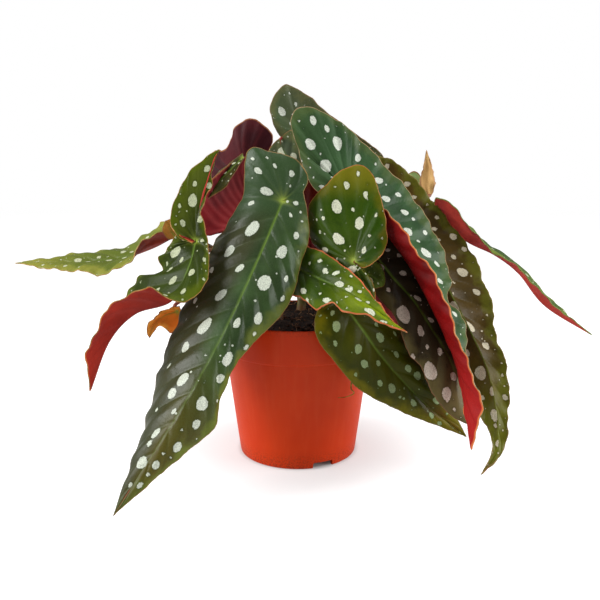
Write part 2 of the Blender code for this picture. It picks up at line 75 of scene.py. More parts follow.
def addNoise(tree, scale, detail=3.0, rough=0.55, source=None):
    node = tree.nodes.new("ShaderNodeTexNoise")
    node.inputs["Scale"].default_value = scale
    node.inputs["Detail"].default_value = detail
    node.inputs["Roughness"].default_value = rough
    if source is None:
        source = tree.nodes.new("ShaderNodeTexCoord").outputs["Object"]
    tree.links.new(source, node.inputs["Vector"])
    return node.outputs["Fac"]


def addRange(tree, value, low, high, outLow=0.0, outHigh=1.0, smooth=True):
    node = tree.nodes.new("ShaderNodeMapRange")
    node.interpolation_type = "SMOOTHSTEP" if smooth else "LINEAR"
    for label, number in (("From Min", low), ("From Max", high), ("To Min", outLow), ("To Max", outHigh)):
        node.inputs[label].default_value = number
    tree.links.new(value, node.inputs["Value"])
    return node.outputs["Result"]


def addMath(tree, kind, first, second):
    node = tree.nodes.new("ShaderNodeMath")
    node.operation = kind
    for number, value in enumerate((first, second)):
        if isinstance(value, (int, float)):
            node.inputs[number].default_value = value
        else:
            tree.links.new(value, node.inputs[number])
    return node.outputs["Value"]


def addMix(tree, factor, first, second, blend="MIX"):
    node = tree.nodes.new("ShaderNodeMix")
    node.data_type = "RGBA"
    node.blend_type = blend
    for label, value in ((0, factor), (6, first), (7, second)):
        if hasattr(value, "is_linked"):
            tree.links.new(value, node.inputs[label])
        else:
            node.inputs[label].default_value = value
    return node.outputs[2]


def addAttribute(tree, name):
    node = tree.nodes.new("ShaderNodeAttribute")
    node.attribute_name = name
    return node.outputs["Fac"]


def makeSpotGroup():
    # crisp but slightly uneven spot edges, a faint dark ring round them, and scattered tiny dots
    group, entry, leave = newGroup(
        "leafSpots",
        [("Depth", "NodeSocketFloat", 0.0), ("Dots", "NodeSocketFloat", 0.5)],
        [("Spot", "NodeSocketFloat"), ("Ring", "NodeSocketFloat"), ("Dot", "NodeSocketFloat")])
    wobble = addRange(group, addNoise(group, 900, 2), 0.3, 0.7, -0.28, 0.28, smooth=False)
    depth = addMath(group, "ADD", entry.outputs["Depth"], wobble)
    group.links.new(addRange(group, depth, -0.18, 0.22), leave.inputs["Spot"])
    group.links.new(addRange(group, depth, -1.6, 0.0), leave.inputs["Ring"])
    cells = group.nodes.new("ShaderNodeTexVoronoi")
    cells.inputs["Scale"].default_value = 150
    place = group.nodes.new("ShaderNodeTexCoord")
    group.links.new(place.outputs["Object"], cells.inputs["Vector"])
    split = group.nodes.new("ShaderNodeSeparateColor")
    group.links.new(cells.outputs["Color"], split.inputs["Color"])
    size = addRange(group, split.outputs["Red"], 0.35, 1.0, 0.0, 0.15, smooth=False)
    near = addMath(group, "SUBTRACT", size, cells.outputs["Distance"])
    few = addMath(group, "LESS_THAN", split.outputs["Green"], entry.outputs["Dots"])
    dot = addMath(group, "MULTIPLY", addRange(group, near, -0.012, 0.02), few)
    group.links.new(dot, leave.inputs["Dot"])
    return group


def makeBladeGroup():
    # broad patches of tint, a fine cell pattern and the height that the bump reads
    group, entry, leave = newGroup(
        "bladeSurface",
        [("Vein", "NodeSocketFloat", 0.0), ("Spot", "NodeSocketFloat", 0.0)],
        [("Patch", "NodeSocketFloat"), ("Cells", "NodeSocketFloat"), ("Height", "NodeSocketFloat")])
    patch = addRange(group, addNoise(group, 26, 4), 0.36, 0.66)
    group.links.new(patch, leave.inputs["Patch"])
    cells = group.nodes.new("ShaderNodeTexVoronoi")
    cells.inputs["Scale"].default_value = 1500
    place = group.nodes.new("ShaderNodeTexCoord")
    group.links.new(place.outputs["Object"], cells.inputs["Vector"])
    group.links.new(addRange(group, cells.outputs["Distance"], 0.1, 0.75), leave.inputs["Cells"])
    pucker = addMath(group, "MULTIPLY", addNoise(group, 260, 3), 0.55)
    grain = addMath(group, "MULTIPLY", cells.outputs["Distance"], 0.10)
    height = addMath(group, "ADD", pucker, grain)
    raised = addMath(group, "MULTIPLY", entry.outputs["Spot"], 0.06)
    height = addMath(group, "ADD", height, raised)
    sunk = addMath(group, "MULTIPLY", entry.outputs["Vein"], -0.5)
    group.links.new(addMath(group, "ADD", height, sunk), leave.inputs["Height"])
    return group


spotGroup = makeSpotGroup()
bladeGroup = makeBladeGroup()


def placeGroup(tree, group, **values):
    node = tree.nodes.new("ShaderNodeGroup")
    node.node_tree = group
    for label, value in values.items():
        if hasattr(value, "is_linked"):
            tree.links.new(value, node.inputs[label])
        else:
            node.inputs[label].default_value = value
    return node


def newMaterial(name, rough, sheen=0.0, specular=0.5):
    made = bpy.data.materials.new(name)
    made.use_nodes = True
    shader = made.node_tree.nodes["Principled BSDF"]
    shader.inputs["Roughness"].default_value = rough
    shader.inputs["Specular IOR Level"].default_value = specular
    shader.inputs["Sheen Weight"].default_value = sheen
    return made, made.node_tree, shader


def addBump(tree, shader, height, strength, distance):
    bump = tree.nodes.new("ShaderNodeBump")
    bump.inputs["Strength"].default_value = strength
    bump.inputs["Distance"].default_value = distance
    tree.links.new(height, bump.inputs["Height"])
    tree.links.new(bump.outputs["Normal"], shader.inputs["Normal"])


print("shader groups ready")


# leaf finishes

def upperFinish(leaf):
    look = leaf["look"]
    dull = look.get("rough", 0.34)
    made, tree, shader = newMaterial(leaf["name"] + "Upper", dull, specular=look.get("shine", 0.11))
    vein = addAttribute(tree, "veinNear")
    spots = placeGroup(tree, spotGroup, Depth=addAttribute(tree, "spotDepth"), Dots=look.get("dots", 0.45))
    blade = placeGroup(tree, bladeGroup, Vein=vein, Spot=spots.outputs["Spot"])
    margin = addAttribute(tree, "marginGap")
    along = addAttribute(tree, "tipShare")
    color = addMix(tree, blade.outputs["Patch"], tone(*look["deep"]), tone(*look["blade"]))
    # towards the tip the tip colour comes in; on leafRightFolded this lighter tip colour is a painted sheen
    low, high = look.get("tipSpan", (0.55, 1.0))
    color = addMix(tree, addRange(tree, along, low, high), color, tone(*look.get("tip", look["blade"])))
    # near the stalk the lobe colour comes in; on leafCentreFront this dark lobe colour is painted shade cast
    # by the neighbouring leaves
    low, high = look.get("rootSpan", (-0.6, 0.0))
    color = addMix(tree, addRange(tree, along, high, low), color, tone(*look.get("lobe", look["blade"])))
    uneven = addMath(tree, "ADD", margin, addRange(tree, addNoise(tree, 60), 0.3, 0.7, -4.0, 4.0))
    color = addMix(tree, addRange(tree, uneven, 9.0, 1.0, 0.0, 0.85), color, tone(*look["edge"]))
    place = tree.nodes.new("ShaderNodeTexCoord")
    # each wash mixes a colour over the part of the leaf lying far along its heading; leafFrontLeft's first
    # wash is painted shade darkening its left half
    for heading, low, high, wash in look.get("washes", []):
        across = tree.nodes.new("ShaderNodeVectorMath")
        across.operation = "DOT_PRODUCT"
        tree.links.new(place.outputs["Object"], across.inputs[0])
        across.inputs[1].default_value = heading
        color = addMix(tree, addRange(tree, across.outputs["Value"], low, high), color, tone(*wash))
    soft = addMath(tree, "MULTIPLY", blade.outputs["Cells"], 0.10)
    color = addMix(tree, soft, color, tone(*look.get("fleck", look["edge"])))
    color = addMix(tree, addMath(tree, "MULTIPLY", vein, 0.07), color, tone(*look.get("vein", look["deep"])))
    rib = addMath(tree, "MULTIPLY", addAttribute(tree, "ribNear"), addRange(tree, along, 0.0, 0.8, 0.9, 0.25))
    color = addMix(tree, rib, color, tone(*look.get("ribTint", (100, 128, 46))))
    star = addAttribute(tree, "stalkNear")
    star = addMath(tree, "MULTIPLY", star, 0.75)
    color = addMix(tree, star, color, tone(*look.get("star", (150, 168, 66))))
    ring = addMath(tree, "MULTIPLY", spots.outputs["Ring"], 0.30)
    color = addMix(tree, ring, color, tone(*look["deep"]))
    color = addMix(tree, addMath(tree, "MULTIPLY", spots.outputs["Dot"], 0.8), color, tone(*look["spot"]))
    speck = addMix(tree, addRange(tree, addNoise(tree, 1400, 2), 0.35, 0.7), tone(*look["spot"]),
                   tone(*[value * 0.80 for value in look["spot"]]))
    color = addMix(tree, spots.outputs["Spot"], color, speck)
    thin = look.get("rimWidth", 0.55)
    rimColor = tone(*[value * 0.86 for value in look["rim"]])
    color = addMix(tree, addRange(tree, margin, thin, thin * 0.5), color, rimColor)
    tree.links.new(color, shader.inputs["Base Color"])
    rough = addRange(tree, blade.outputs["Patch"], 0.0, 1.0, dull, dull + 0.08)
    tree.links.new(rough, shader.inputs["Roughness"])
    addBump(tree, shader, blade.outputs["Height"], 0.55, 0.0009)
    return made


def underFinish(leaf):
    look = leaf["look"]
    made, tree, shader = newMaterial(leaf["name"] + "Under", 0.55, specular=0.14)
    vein = addAttribute(tree, "veinNear")
    blade = placeGroup(tree, bladeGroup, Vein=vein, Spot=0.0)
    margin = addAttribute(tree, "marginGap")
    along = addAttribute(tree, "tipShare")
    color = addMix(tree, blade.outputs["Patch"], tone(*look["underDeep"]), tone(*look["under"]))
    low, high = look.get("underSpan", (0.5, 1.0))
    color = addMix(tree, addRange(tree, along, low, high), color, tone(*look.get("underTip", look["under"])))
    veinColor = tone(*look.get("underVein", look["underDeep"]))
    color = addMix(tree, addMath(tree, "MULTIPLY", vein, 0.45), color, veinColor)
    flecks = addMath(tree, "MULTIPLY", blade.outputs["Cells"], 0.20)
    color = addMix(tree, flecks, color, tone(*look["underDeep"]))
    color = addMix(tree, addRange(tree, margin, 1.4, 0.3), color, tone(*look.get("underRim", look["rim"])))
    tree.links.new(color, shader.inputs["Base Color"])
    addBump(tree, shader, blade.outputs["Height"], 0.5, 0.0008)
    return made


def rimFinish(leaf):
    look = leaf["look"]
    made, tree, shader = newMaterial(leaf["name"] + "Rim", 0.5)
    streak = addRange(tree, addNoise(tree, 220, 3), 0.35, 0.65)
    color = addMix(tree, streak, tone(*look["rim"]), tone(*look["edge"]))
    tree.links.new(color, shader.inputs["Base Color"])
    return made


# leaf shapes

def clearSelection():
    bpy.ops.object.select_all(action="DESELECT")


def smoothLine(points, count):
    # evenly spaced points on the smooth curve through the given ones, and the curve's length
    knots = [Vector(point) for point in points]
    knots = [2 * knots[0] - knots[1]] + knots + [2 * knots[-1] - knots[-2]]
    fine = []
    for index in range(1, len(knots) - 2):
        before, start, end, after = knots[index - 1:index + 3]
        for step in range(12):
            t = step / 12
            fine.append(0.5 * (2 * start + (end - before) * t
                               + (2 * before - 5 * start + 4 * end - after) * t * t
                               + (3 * start - before - 3 * end + after) * t ** 3))
    fine.append(knots[-2])
    reach = [0.0]
    for first, second in zip(fine, fine[1:]):
        reach.append(reach[-1] + (second - first).length)
    line = []
    index = 0
    for step in range(count):
        wanted = reach[-1] * step / (count - 1)
        while index < len(fine) - 2 and reach[index + 1] < wanted:
            index += 1
        share = (wanted - reach[index]) / (reach[index + 1] - reach[index])
        line.append(fine[index].lerp(fine[index + 1], share))
    return line, reach[-1]


def lengthOf(points):
    return sum((Vector(second) - Vector(first)).length for first, second in zip(points, points[1:]))


bladeMake = {
    "fullWidth": 22.0, "swellSpan": 42.0, "aheadSteps": 32, "quiltSpan": 5.0,
    "cell": 1.6, "curveSteps": 1600, "veinLag": 1.2, "thickness": 0.55,
    "veinSpacing": 19.0, "veinWidth": 0.9, "veinDepth": 0.4, "veinSlant": 21.0, "pucker": 1.5,
    "toothSize": 0.8, "toothSpacing": 3.2,
}


class Blade:
    # the surface of one leaf: every row runs from the midrib out to the margin
    def __init__(self, leaf):
        steps = bladeMake["curveSteps"]
        self.leaf = leaf
        self.dice = random.Random(leaf["name"])
        self.rib, self.ribLength = smoothLine(leaf["midrib"], steps + 1)
        self.edges = {}
        for side, lobe in (("left", leaf["lobes"][0]), ("right", leaf["lobes"][1])):
            line, length = smoothLine(leaf[side], steps + 1)
            fan = lengthOf(leaf[side][:lobe + 1]) / lengthOf(leaf[side])
            self.edges[side] = (line, length, fan)
        longest = max(length * (1 - fan) for _, length, fan in self.edges.values())
        fanned = max(length * fan for _, length, fan in self.edges.values())
        self.bladeRows = max(10, round(longest / bladeMake["cell"]))
        self.fanRows = max(4, round(fanned / bladeMake["cell"]))
        self.rows = self.fanRows + self.bladeRows
        self.waves = {side: (self.dice.uniform(0, 6.28), self.dice.uniform(24, 34),
                             self.dice.uniform(0, 6.28), self.dice.uniform(11, 15))
                      for side in self.edges}
        self.seed = self.dice.uniform(0, 100)
        self.veins = {side: self.veinRows(side) for side in self.edges}

    def reaches(self, side, row):
        # how far a row starts along the midrib and ends along the margin, in mm
        length, fan = self.edges[side][1:]
        if row < self.fanRows:
            return 0.0, length * fan * row / self.fanRows
        share = (row - self.fanRows) / self.bladeRows
        return self.ribLength * share ** bladeMake["veinLag"], length * (fan + (1 - fan) * share)

    def veinRows(self, side):
        length, fan = self.edges[side][1:]
        spacing = bladeMake["veinSpacing"] * self.leaf.get("veinScale", 1.0)
        lobeVeins = round(length * fan / spacing)
        rows = [self.fanRows * (number + 0.5) / lobeVeins for number in range(lobeVeins)]
        bladeVeins = max(3, round(length * (1 - fan) / spacing))
        rows += [self.fanRows + self.bladeRows * number / bladeVeins for number in range(bladeVeins)]
        return rows

    def frameAt(self, side, row):
        steps = bladeMake["curveSteps"]
        line, length = self.edges[side][:2]
        along, around = self.reaches(side, row)
        place = min(steps, round(steps * along / self.ribLength))
        inner = self.rib[place]
        outer = line[min(steps, round(steps * around / length))]
        step = bladeMake["aheadSteps"]
        ahead = self.rib[min(steps, place + step)] - self.rib[max(0, place - step)]
        up = ahead.cross(outer - inner) * (1 if side == "right" else -1)
        if up.length > 1e-6:
            up.normalize()
        return inner, outer, up, along, around

    def bulgeAt(self, around, width):
        # the blade swells away from its stalk, and less where it is narrow
        return self.leaf["bulge"] * min(1.0, around / bladeMake["swellSpan"], width / bladeMake["fullWidth"])

    def spot(self, side, row, share):
        # a point on the smooth blade, before ripples and veins
        inner, outer, up, _, around = self.frameAt(side, row)
        rise = self.bulgeAt(around, (outer - inner).length)
        return inner.lerp(outer, share) + up * rise * 4 * share * (1 - share)

    def point(self, side, row, share, veinRow):
        # the finished surface point, and how close it lies to a side vein and to the midrib
        inner, outer, up, along, around = self.frameAt(side, row)
        width = (outer - inner).length
        slant = min(max(0.0, row - self.fanRows), bladeMake["veinSlant"] / bladeMake["cell"])
        alongHere, aroundHere = self.reaches(side, row - slant * share)
        nearest = 1e9
        for vein in veinRow:
            veinAlong, veinAround = self.veinReach[side][vein]
            gap = abs(veinAround - aroundHere) * share + abs(veinAlong - alongHere) * (1 - share)
            nearest = min(nearest, gap * 0.75)
        fine = bladeMake["veinWidth"]
        near = math.exp(-(nearest / (fine * (1.3 - 0.6 * share))) ** 2) * (1 - 0.6 * share)
        rib = 0.0
        if row >= self.fanRows:
            taper = 1 - 0.6 * along / self.ribLength
            rib = math.exp(-(share * width / (fine * 0.8 * taper)) ** 2)
        quilt = 1 - math.exp(-(nearest / bladeMake["quiltSpan"]) ** 2)
        rise = self.bulgeAt(around, width) * 4 * share * (1 - share)
        rise += bladeMake["pucker"] * quilt * min(1.0, width / 30.0) * 4 * share * (1 - share)
        rise -= bladeMake["veinDepth"] * max(near, rib)
        phaseA, waveA, phaseB, waveB = self.waves[side]
        fade = min(1.0, around / 15.0) * min(1.0, (self.edges[side][1] - around) / 25.0)
        ripple = self.leaf.get("ripple", 1.0) * fade * share ** 3
        rise += ripple * (math.sin(around * 6.283 / waveA + phaseA)
                          + 0.6 * math.sin(around * 6.283 / waveB + phaseB))
        place = inner.lerp(outer, share) + up * rise
        if width > 1e-6 and share > 0.9:
            tooth = noise.noise(Vector((around / bladeMake["toothSpacing"], self.seed, 0)))
            size = bladeMake["toothSize"] * self.leaf.get("teeth", 1.0)
            place += (outer - inner) / width * tooth * size * fade * (share - 0.9) / 0.1
        return place, near, rib, width

    def build(self):
        leaf = self.leaf
        widest = 0.0
        for side in self.edges:
            for row in range(0, self.rows + 1, 4):
                inner, outer = self.frameAt(side, row)[:2]
                widest = max(widest, (outer - inner).length)
        across = max(5, round(widest / bladeMake["cell"]))
        self.veinReach = {side: {vein: self.reaches(side, vein) for vein in self.veins[side]}
                          for side in self.edges}
        clearSelection()
        bpy.ops.mesh.primitive_grid_add(x_subdivisions=2 * across, y_subdivisions=self.rows, size=1)
        made = bpy.context.object
        made.name = leaf["name"]
        mesh = made.data
        columns = 2 * across + 1
        sides, places, veinNear, ribNear, marginGap, tipShare, stalkNear = [], [], [], [], [], [], []
        joint = Vector(leaf["midrib"][0])
        for index, vertex in enumerate(mesh.vertices):
            row, column = divmod(index, columns)
            offset = column - across
            side = "left" if offset >= 0 else "right"
            share = abs(offset) / across
            place, near, rib, width = self.point(side, row, share, self.veins[side])
            vertex.co = place * mm
            sides.append(side == "left")
            places.append(place)
            veinNear.append(near)
            ribNear.append(rib)
            marginGap.append((1 - share) * width)
            along = self.reaches(side, row)[0]
            tipShare.append(along / self.ribLength if row >= self.fanRows
                            else -(1 - row / self.fanRows) * share)
            reach = (place - joint).length
            stalkNear.append(math.exp(-(reach / 2.2) ** 2) + 0.5 * near * math.exp(-(reach / 6.0) ** 2))
        depth = self.spotDepths(np.array([list(place) for place in places]), np.array(sides))
        for name, values in (("spotDepth", depth), ("veinNear", veinNear), ("ribNear", ribNear),
                             ("marginGap", marginGap), ("tipShare", tipShare), ("stalkNear", stalkNear)):
            layer = mesh.attributes.new(name, "FLOAT", "POINT")
            layer.data.foreach_set("value", [float(value) for value in values])
        bpy.ops.object.mode_set(mode="EDIT")
        bpy.ops.mesh.select_all(action="SELECT")
        bpy.ops.mesh.remove_doubles(threshold=0.00002)
        bpy.ops.mesh.dissolve_degenerate(threshold=0.00001)
        bpy.ops.object.mode_set(mode="OBJECT")
        for finish in (upperFinish(leaf), underFinish(leaf), rimFinish(leaf)):
            mesh.materials.append(finish)
        wall = made.modifiers.new("wall", "SOLIDIFY")
        wall.thickness = bladeMake["thickness"] * mm
        wall.offset = -1.0
        wall.material_offset = 1
        wall.material_offset_rim = 2
        bpy.ops.object.modifier_apply(modifier="wall")
        bpy.ops.object.shade_smooth()
        self.made = made
        return made

    def underside(self):
        # which way the blade faces below, close to where the stalk joins it
        total = Vector((0, 0, 0))
        row = self.fanRows + 4
        for side in self.edges:
            outwards = self.spot(side, row, 0.25) - self.spot(side, row, 0.05)
            onwards = self.spot(side, row + 4, 0.15) - self.spot(side, row, 0.15)
            facing = outwards.cross(onwards).normalized()
            total += facing if side == "right" else -facing
        return total.normalized()

    def ownSpots(self):
        # named spots first, then more of them between the veins wherever the blade is still bare
        chosen = [(side, row, share, radius) for side in self.edges
                  for row, share, radius in self.leaf.get(side + "Spots", [])]
        taken = [(self.spot(side, row * self.rows, share), radius) for side, row, share, radius in chosen]
        size = self.leaf.get("spotSize", 3.4)
        if not self.leaf.get("autoSpots", True):
            return chosen

        def offer(side, row, share, radius, room):
            centre = self.spot(side, row, share)
            if all((centre - other).length > room + radius + reach for other, reach in taken):
                taken.append((centre, radius))
                chosen.append((side, row / self.rows, share, radius))

        for side in self.edges:
            stations = sorted(self.veins[side]) + [self.rows]
            for first, second in zip(stations, stations[1:]):
                inner, outer = self.frameAt(side, (first + second) / 2)[:2]
                width = (outer - inner).length
                for _ in range(3 * max(1, int(width / (size * 3.6)))):
                    share = self.dice.uniform(0.08, 0.92)
                    row = first + (second - first) * self.dice.uniform(0.2, 0.8)
                    radius = size * self.dice.uniform(0.4, 1.1) * (1.1 - 0.5 * share)
                    offer(side, row, share, min(radius, width * 0.2), size * 1.9)
            for _ in range(int(self.edges[side][1] * self.leaf.get("fineDots", 0.2))):
                share = 1 - 0.9 * self.dice.random() ** 1.5
                row = self.rows * self.dice.uniform(0.04, 0.98)
                offer(side, row, share, self.dice.uniform(0.35, 0.8), 1.2)
        return chosen

    def spotDepths(self, places, isLeft):
        # how far each point lies inside the nearest spot's edge; spots lean out and towards the tip
        best = np.full(len(places), -3.0)
        for side, rowShare, share, radius in self.ownSpots():
            row = rowShare * self.rows
            centre = self.spot(side, row, share)
            out = self.spot(side, row, min(1.0, share + 0.04)) - self.spot(side, row, max(0.0, share - 0.04))
            ahead = self.spot(side, min(self.rows, row + 2), share) - self.spot(side, max(0, row - 2), share)
            facing = out.cross(ahead).normalized()
            out.normalize()
            ahead = (ahead - out * ahead.dot(out)).normalized()
            lean = self.leaf.get("spotLean", 0.95) * min(1.0, max(0.15, (row - self.fanRows) / 12))
            first = out * math.cos(lean) + ahead * math.sin(lean)
            second = facing.cross(first)
            away = places - np.array(centre)
            stretch = self.dice.uniform(1.15, 1.4) if radius > 1.2 else 1.0
            x = away @ np.array(first) / stretch
            y = away @ np.array(second) * stretch ** 0.5
            height = away @ np.array(facing)
            turn = np.arctan2(y, x)
            lumpy = radius * (1 + 0.05 * np.sin(2 * turn + self.dice.uniform(0, 6))
                              + 0.04 * np.sin(3 * turn + self.dice.uniform(0, 6)))
            depth = lumpy - np.sqrt(x ** 2 + y ** 2)
            same = isLeft == (side == "left")
            best = np.where(same & (np.abs(height) < 8), np.maximum(best, depth), best)
        return np.clip(best, -3.0, 3.0)


blades = {}


def growLeaf(leaf):
    blade = blades[leaf["name"]] = Blade(leaf)
    made = blade.build()
    if "node" in leaf:
        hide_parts(leaf["node"])
    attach(made, "root")


frontLeft = {
    "name": "leafFrontLeft", "node": "leaf_front_left",
    "midrib": [(-10, -46, 195), (-24, -62, 162), (-45, -88, 117), (-71, -112, 71),
              (-112, -128, 8)],
    "left": [(4, -47, 201), (7, -46, 209), (5, -44, 216), (-4, -41, 224), (-18, -39, 228),
             (-32, -38, 230), (-36, -38, 221),
            (-39, -36, 196), (-58, -38, 165), (-78, -52, 124), (-91, -70, 89),
            (-100, -92, 49), (-112, -128, 8)],
    "right": [(4, -47, 201), (7, -48, 186), (8, -52, 171), (3, -58, 155), (-7, -72, 126),
             (-35, -88, 98), (-48, -98, 74), (-52, -106, 56), (-75, -116, 38),
             (-95, -124, 22), (-112, -128, 8)],
    "lobes": (7, 1), "bulge": 4,
    "ripple": 0.9, "teeth": 0.5, "spotSize": 3.0, "autoSpots": False, "slot": "leaf_dark",
    "leftSpots": [(0.186, 0.85, 1.3), (0.15, 0.8, 1.1), (0.136, 0.67, 1.4), (0.2, 0.67, 2.3),
                  (0.086, 0.63, 2.0), (0.25, 0.4, 3.3), (0.3, 0.63, 1.9), (0.379, 0.3, 4.6),
                  (0.436, 0.52, 3.9), (0.486, 0.2, 2.8), (0.55, 0.3, 4.0), (0.621, 0.32, 4.8),
                  (0.664, 0.5, 3.0), (0.736, 0.25, 4.1), (0.764, 0.33, 3.2), (0.7, 0.68, 1.7),
                  (0.8, 0.1, 1.7), (0.793, 0.57, 1.3), (0.843, 0.23, 2.9), (0.864, 0.22, 1.8),
                  (0.9, 0.15, 3.5), (0.943, 0.12, 1.3), (0.479, 0.67, 2.0), (0.55, 0.73, 1.9),
                  (0.079, 0.37, 0.9), (0.35, 0.72, 0.7), (0.229, 0.78, 0.7), (0.236, 0.3, 0.7),
                  (0.593, 0.75, 1.0), (0.686, 0.08, 1.1)],
    "rightSpots": [(0.179, 0.55, 1.6), (0.314, 0.35, 1.3), (0.35, 0.63, 2.1), (0.407, 0.43, 3.6),
                   (0.493, 0.33, 4.6), (0.443, 0.72, 1.8), (0.479, 0.82, 1.7), (0.55, 0.65, 3.3),
                   (0.6, 0.23, 2.6), (0.657, 0.5, 3.6), (0.693, 0.55, 2.5), (0.757, 0.35, 3.8),
                   (0.786, 0.53, 2.5), (0.836, 0.58, 2.8), (0.886, 0.43, 2.3), (0.907, 0.45, 1.2),
                   (0.929, 0.53, 1.7), (0.571, 0.83, 1.5), (0.6, 0.88, 1.6), (0.536, 0.35, 1.0),
                   (0.864, 0.35, 0.9), (0.857, 0.68, 0.9), (0.721, 0.78, 1.2), (0.286, 0.7, 0.9),
                   (0.307, 0.73, 0.9), (0.371, 0.83, 0.8), (0.679, 0.27, 0.7), (0.65, 0.2, 0.8),
                   (0.729, 0.15, 0.7), (0.8, 0.85, 0.7), (0.814, 0.32, 0.9)],
    "look": {
        "blade": (54, 79, 36), "deep": (35, 52, 22), "tip": (82, 71, 5), "lobe": (66, 99, 58),
        "edge": (96, 106, 24), "rim": (168, 128, 70), "spot": (210, 217, 199), "vein": (104, 124, 66),
        "fleck": (96, 118, 84), "dots": 0.4, "under": (158, 44, 46),
        "underDeep": (104, 22, 30), "tipSpan": (0.4, 0.85),
        # the first wash is painted shade darkening the leaf's left half; the second gives the top of the leaf
        # a darker green
        "washes": [((-0.89, 0, 0.46), 0.096, 0.108, (50, 50, 24)), ((0, 0, 1), 0.172, 0.196, (46, 68, 36))],
        "shine": 0.2},
}
growLeaf(frontLeft)

leftUpright = {
    "name": "leafLeftUpright", "node": "leaf_left_upright",
    "midrib": [(-69, -52, 168), (-72, -66, 152), (-83, -72, 131), (-109, -66, 121),
              (-127, -68, 102), (-139, -76, 70)],
    "left": [(-71, -53, 167), (-83, -50, 171), (-92, -46, 159), (-96, -44, 154),
            (-95, -42, 146), (-104, -38, 141), (-113, -34, 142), (-120, -40, 129),
            (-136, -56, 97), (-139, -76, 70)],
    "right": [(-71, -53, 167), (-82, -52, 172), (-86, -48, 185), (-77, -42, 209),
             (-55, -36, 230), (-58, -40, 213), (-64, -50, 186), (-59, -60, 163),
             (-59, -76, 144), (-68, -84, 133), (-80, -86, 134), (-96, -84, 141),
             (-119, -84, 130), (-136, -84, 100), (-139, -76, 70)],
    "lobes": (2, 7), "bulge": 2,
    "ripple": 1.2, "teeth": 0.8, "spotSize": 2.8, "slot": "leaf_olive",
    "leftSpots": [(0.521, 0.47, 3.7), (0.564, 0.25, 1.6), (0.643, 0.18, 2.7), (0.543, 0.77, 1.3)],
    "rightSpots": [(0.25, 0.8, 2.2), (0.207, 0.75, 1.7), (0.2, 0.55, 3.5), (0.129, 0.78, 1.3),
                   (0.107, 0.53, 2.0), (0.343, 0.97, 2.0), (0.414, 0.87, 2.3), (0.471, 0.58, 1.3),
                   (0.593, 0.33, 2.4), (0.571, 0.88, 1.2), (0.629, 0.63, 1.9), (0.529, 0.72, 1.4)],
    "look": {
        "blade": (46, 62, 4), "deep": (32, 43, 3), "tip": (63, 107, 33), "lobe": (76, 86, 24),
        "edge": (80, 94, 9), "rim": (184, 132, 70), "spot": (190, 197, 160), "vein": (104, 112, 40),
        "dots": 0.6, "under": (174, 51, 37), "underDeep": (127, 32, 24), "underRim": (206, 110, 60)},
}
growLeaf(leftUpright)

farLeft = {
    "name": "leafFarLeft", "node": "leaf_far_left",
    "midrib": [(-93, 4, 167), (-113, 6, 157), (-138, 12, 149), (-172, 20, 145),
              (-228, 30, 143)],
    "left": [(-94, 6, 170), (-103, 16, 177), (-120, 30, 167), (-141, 34, 155),
            (-171, 36, 151), (-200, 34, 147), (-228, 30, 143)],
    "right": [(-94, 2, 170), (-104, -10, 171), (-116, -14, 163), (-123, -14, 151),
             (-145, -8, 139), (-167, 2, 140), (-194, 14, 140), (-228, 30, 143)],
    "lobes": (1, 1), "bulge": 2,
    "ripple": 1.0, "teeth": 1.1, "spotSize": 2.2, "slot": "leaf_bright",
    "look": {
        "blade": (110, 120, 46), "deep": (87, 100, 35), "tip": (144, 142, 58), "lobe": (94, 104, 36),
        "edge": (137, 137, 55), "rim": (196, 150, 84), "spot": (203, 206, 171), "vein": (164, 160, 84),
        "dots": 0.6, "under": (163, 61, 29), "underDeep": (113, 35, 17), "underVein": (196, 110, 108)},
}
growLeaf(farLeft)

backLeft = {
    "name": "leafBackLeft", "node": "leaf_back_left",
    "midrib": [(-41, 42, 218), (-57, 62, 215), (-74, 92, 207), (-92, 128, 190)],
    "right": [(-24, 40, 228), (-20, 38, 243), (-34, 38, 256), (-48, 42, 251), (-58, 52, 234),
            (-71, 72, 232), (-86, 102, 219), (-92, 128, 190)],
    "left": [(-24, 40, 228), (-32, 42, 215), (-48, 52, 207), (-66, 78, 198),
             (-82, 106, 191), (-92, 128, 190)],
    "lobes": (1, 3), "bulge": -3,
    "ripple": 0.8, "teeth": 0.6, "spotSize": 2.4, "slot": "leaf_maroon",
    "look": {
        "blade": (38, 38, 19), "deep": (23, 28, 14), "edge": (57, 48, 17), "rim": (150, 96, 60),
        "spot": (199, 205, 177), "dots": 0.5, "under": (84, 22, 28), "underDeep": (52, 12, 18),
        "underVein": (112, 40, 44)},
}
growLeaf(backLeft)

backLeftLower = {
    "name": "leafBackLeftLower", "node": "leaf_back_left_lower",
    "midrib": [(-54, -4, 172), (-45, 6, 186), (-36, 22, 205), (-29, 40, 224)],
    "left": [(-57, -4, 170), (-70, -8, 168), (-76, -8, 176), (-76, -8, 188),
            (-70, -4, 202), (-57, 6, 216), (-44, 20, 226), (-29, 40, 224)],
    "right": [(-57, -4, 170), (-47, 2, 167), (-33, 14, 177), (-24, 30, 197), (-29, 40, 224)],
    "lobes": (1, 1), "bulge": 2,
    "ripple": 0.6, "teeth": 0.5, "spotSize": 2.2, "slot": "leaf_maroon", "veinScale": 0.45,
    "look": {
        "blade": (88, 100, 48), "deep": (60, 76, 40), "edge": (110, 112, 50), "rim": (160, 92, 60),
        "spot": (199, 205, 177), "dots": 0.5, "under": (154, 39, 43), "underDeep": (106, 21, 27),
        "underVein": (196, 84, 84)},
}
growLeaf(backLeftLower)

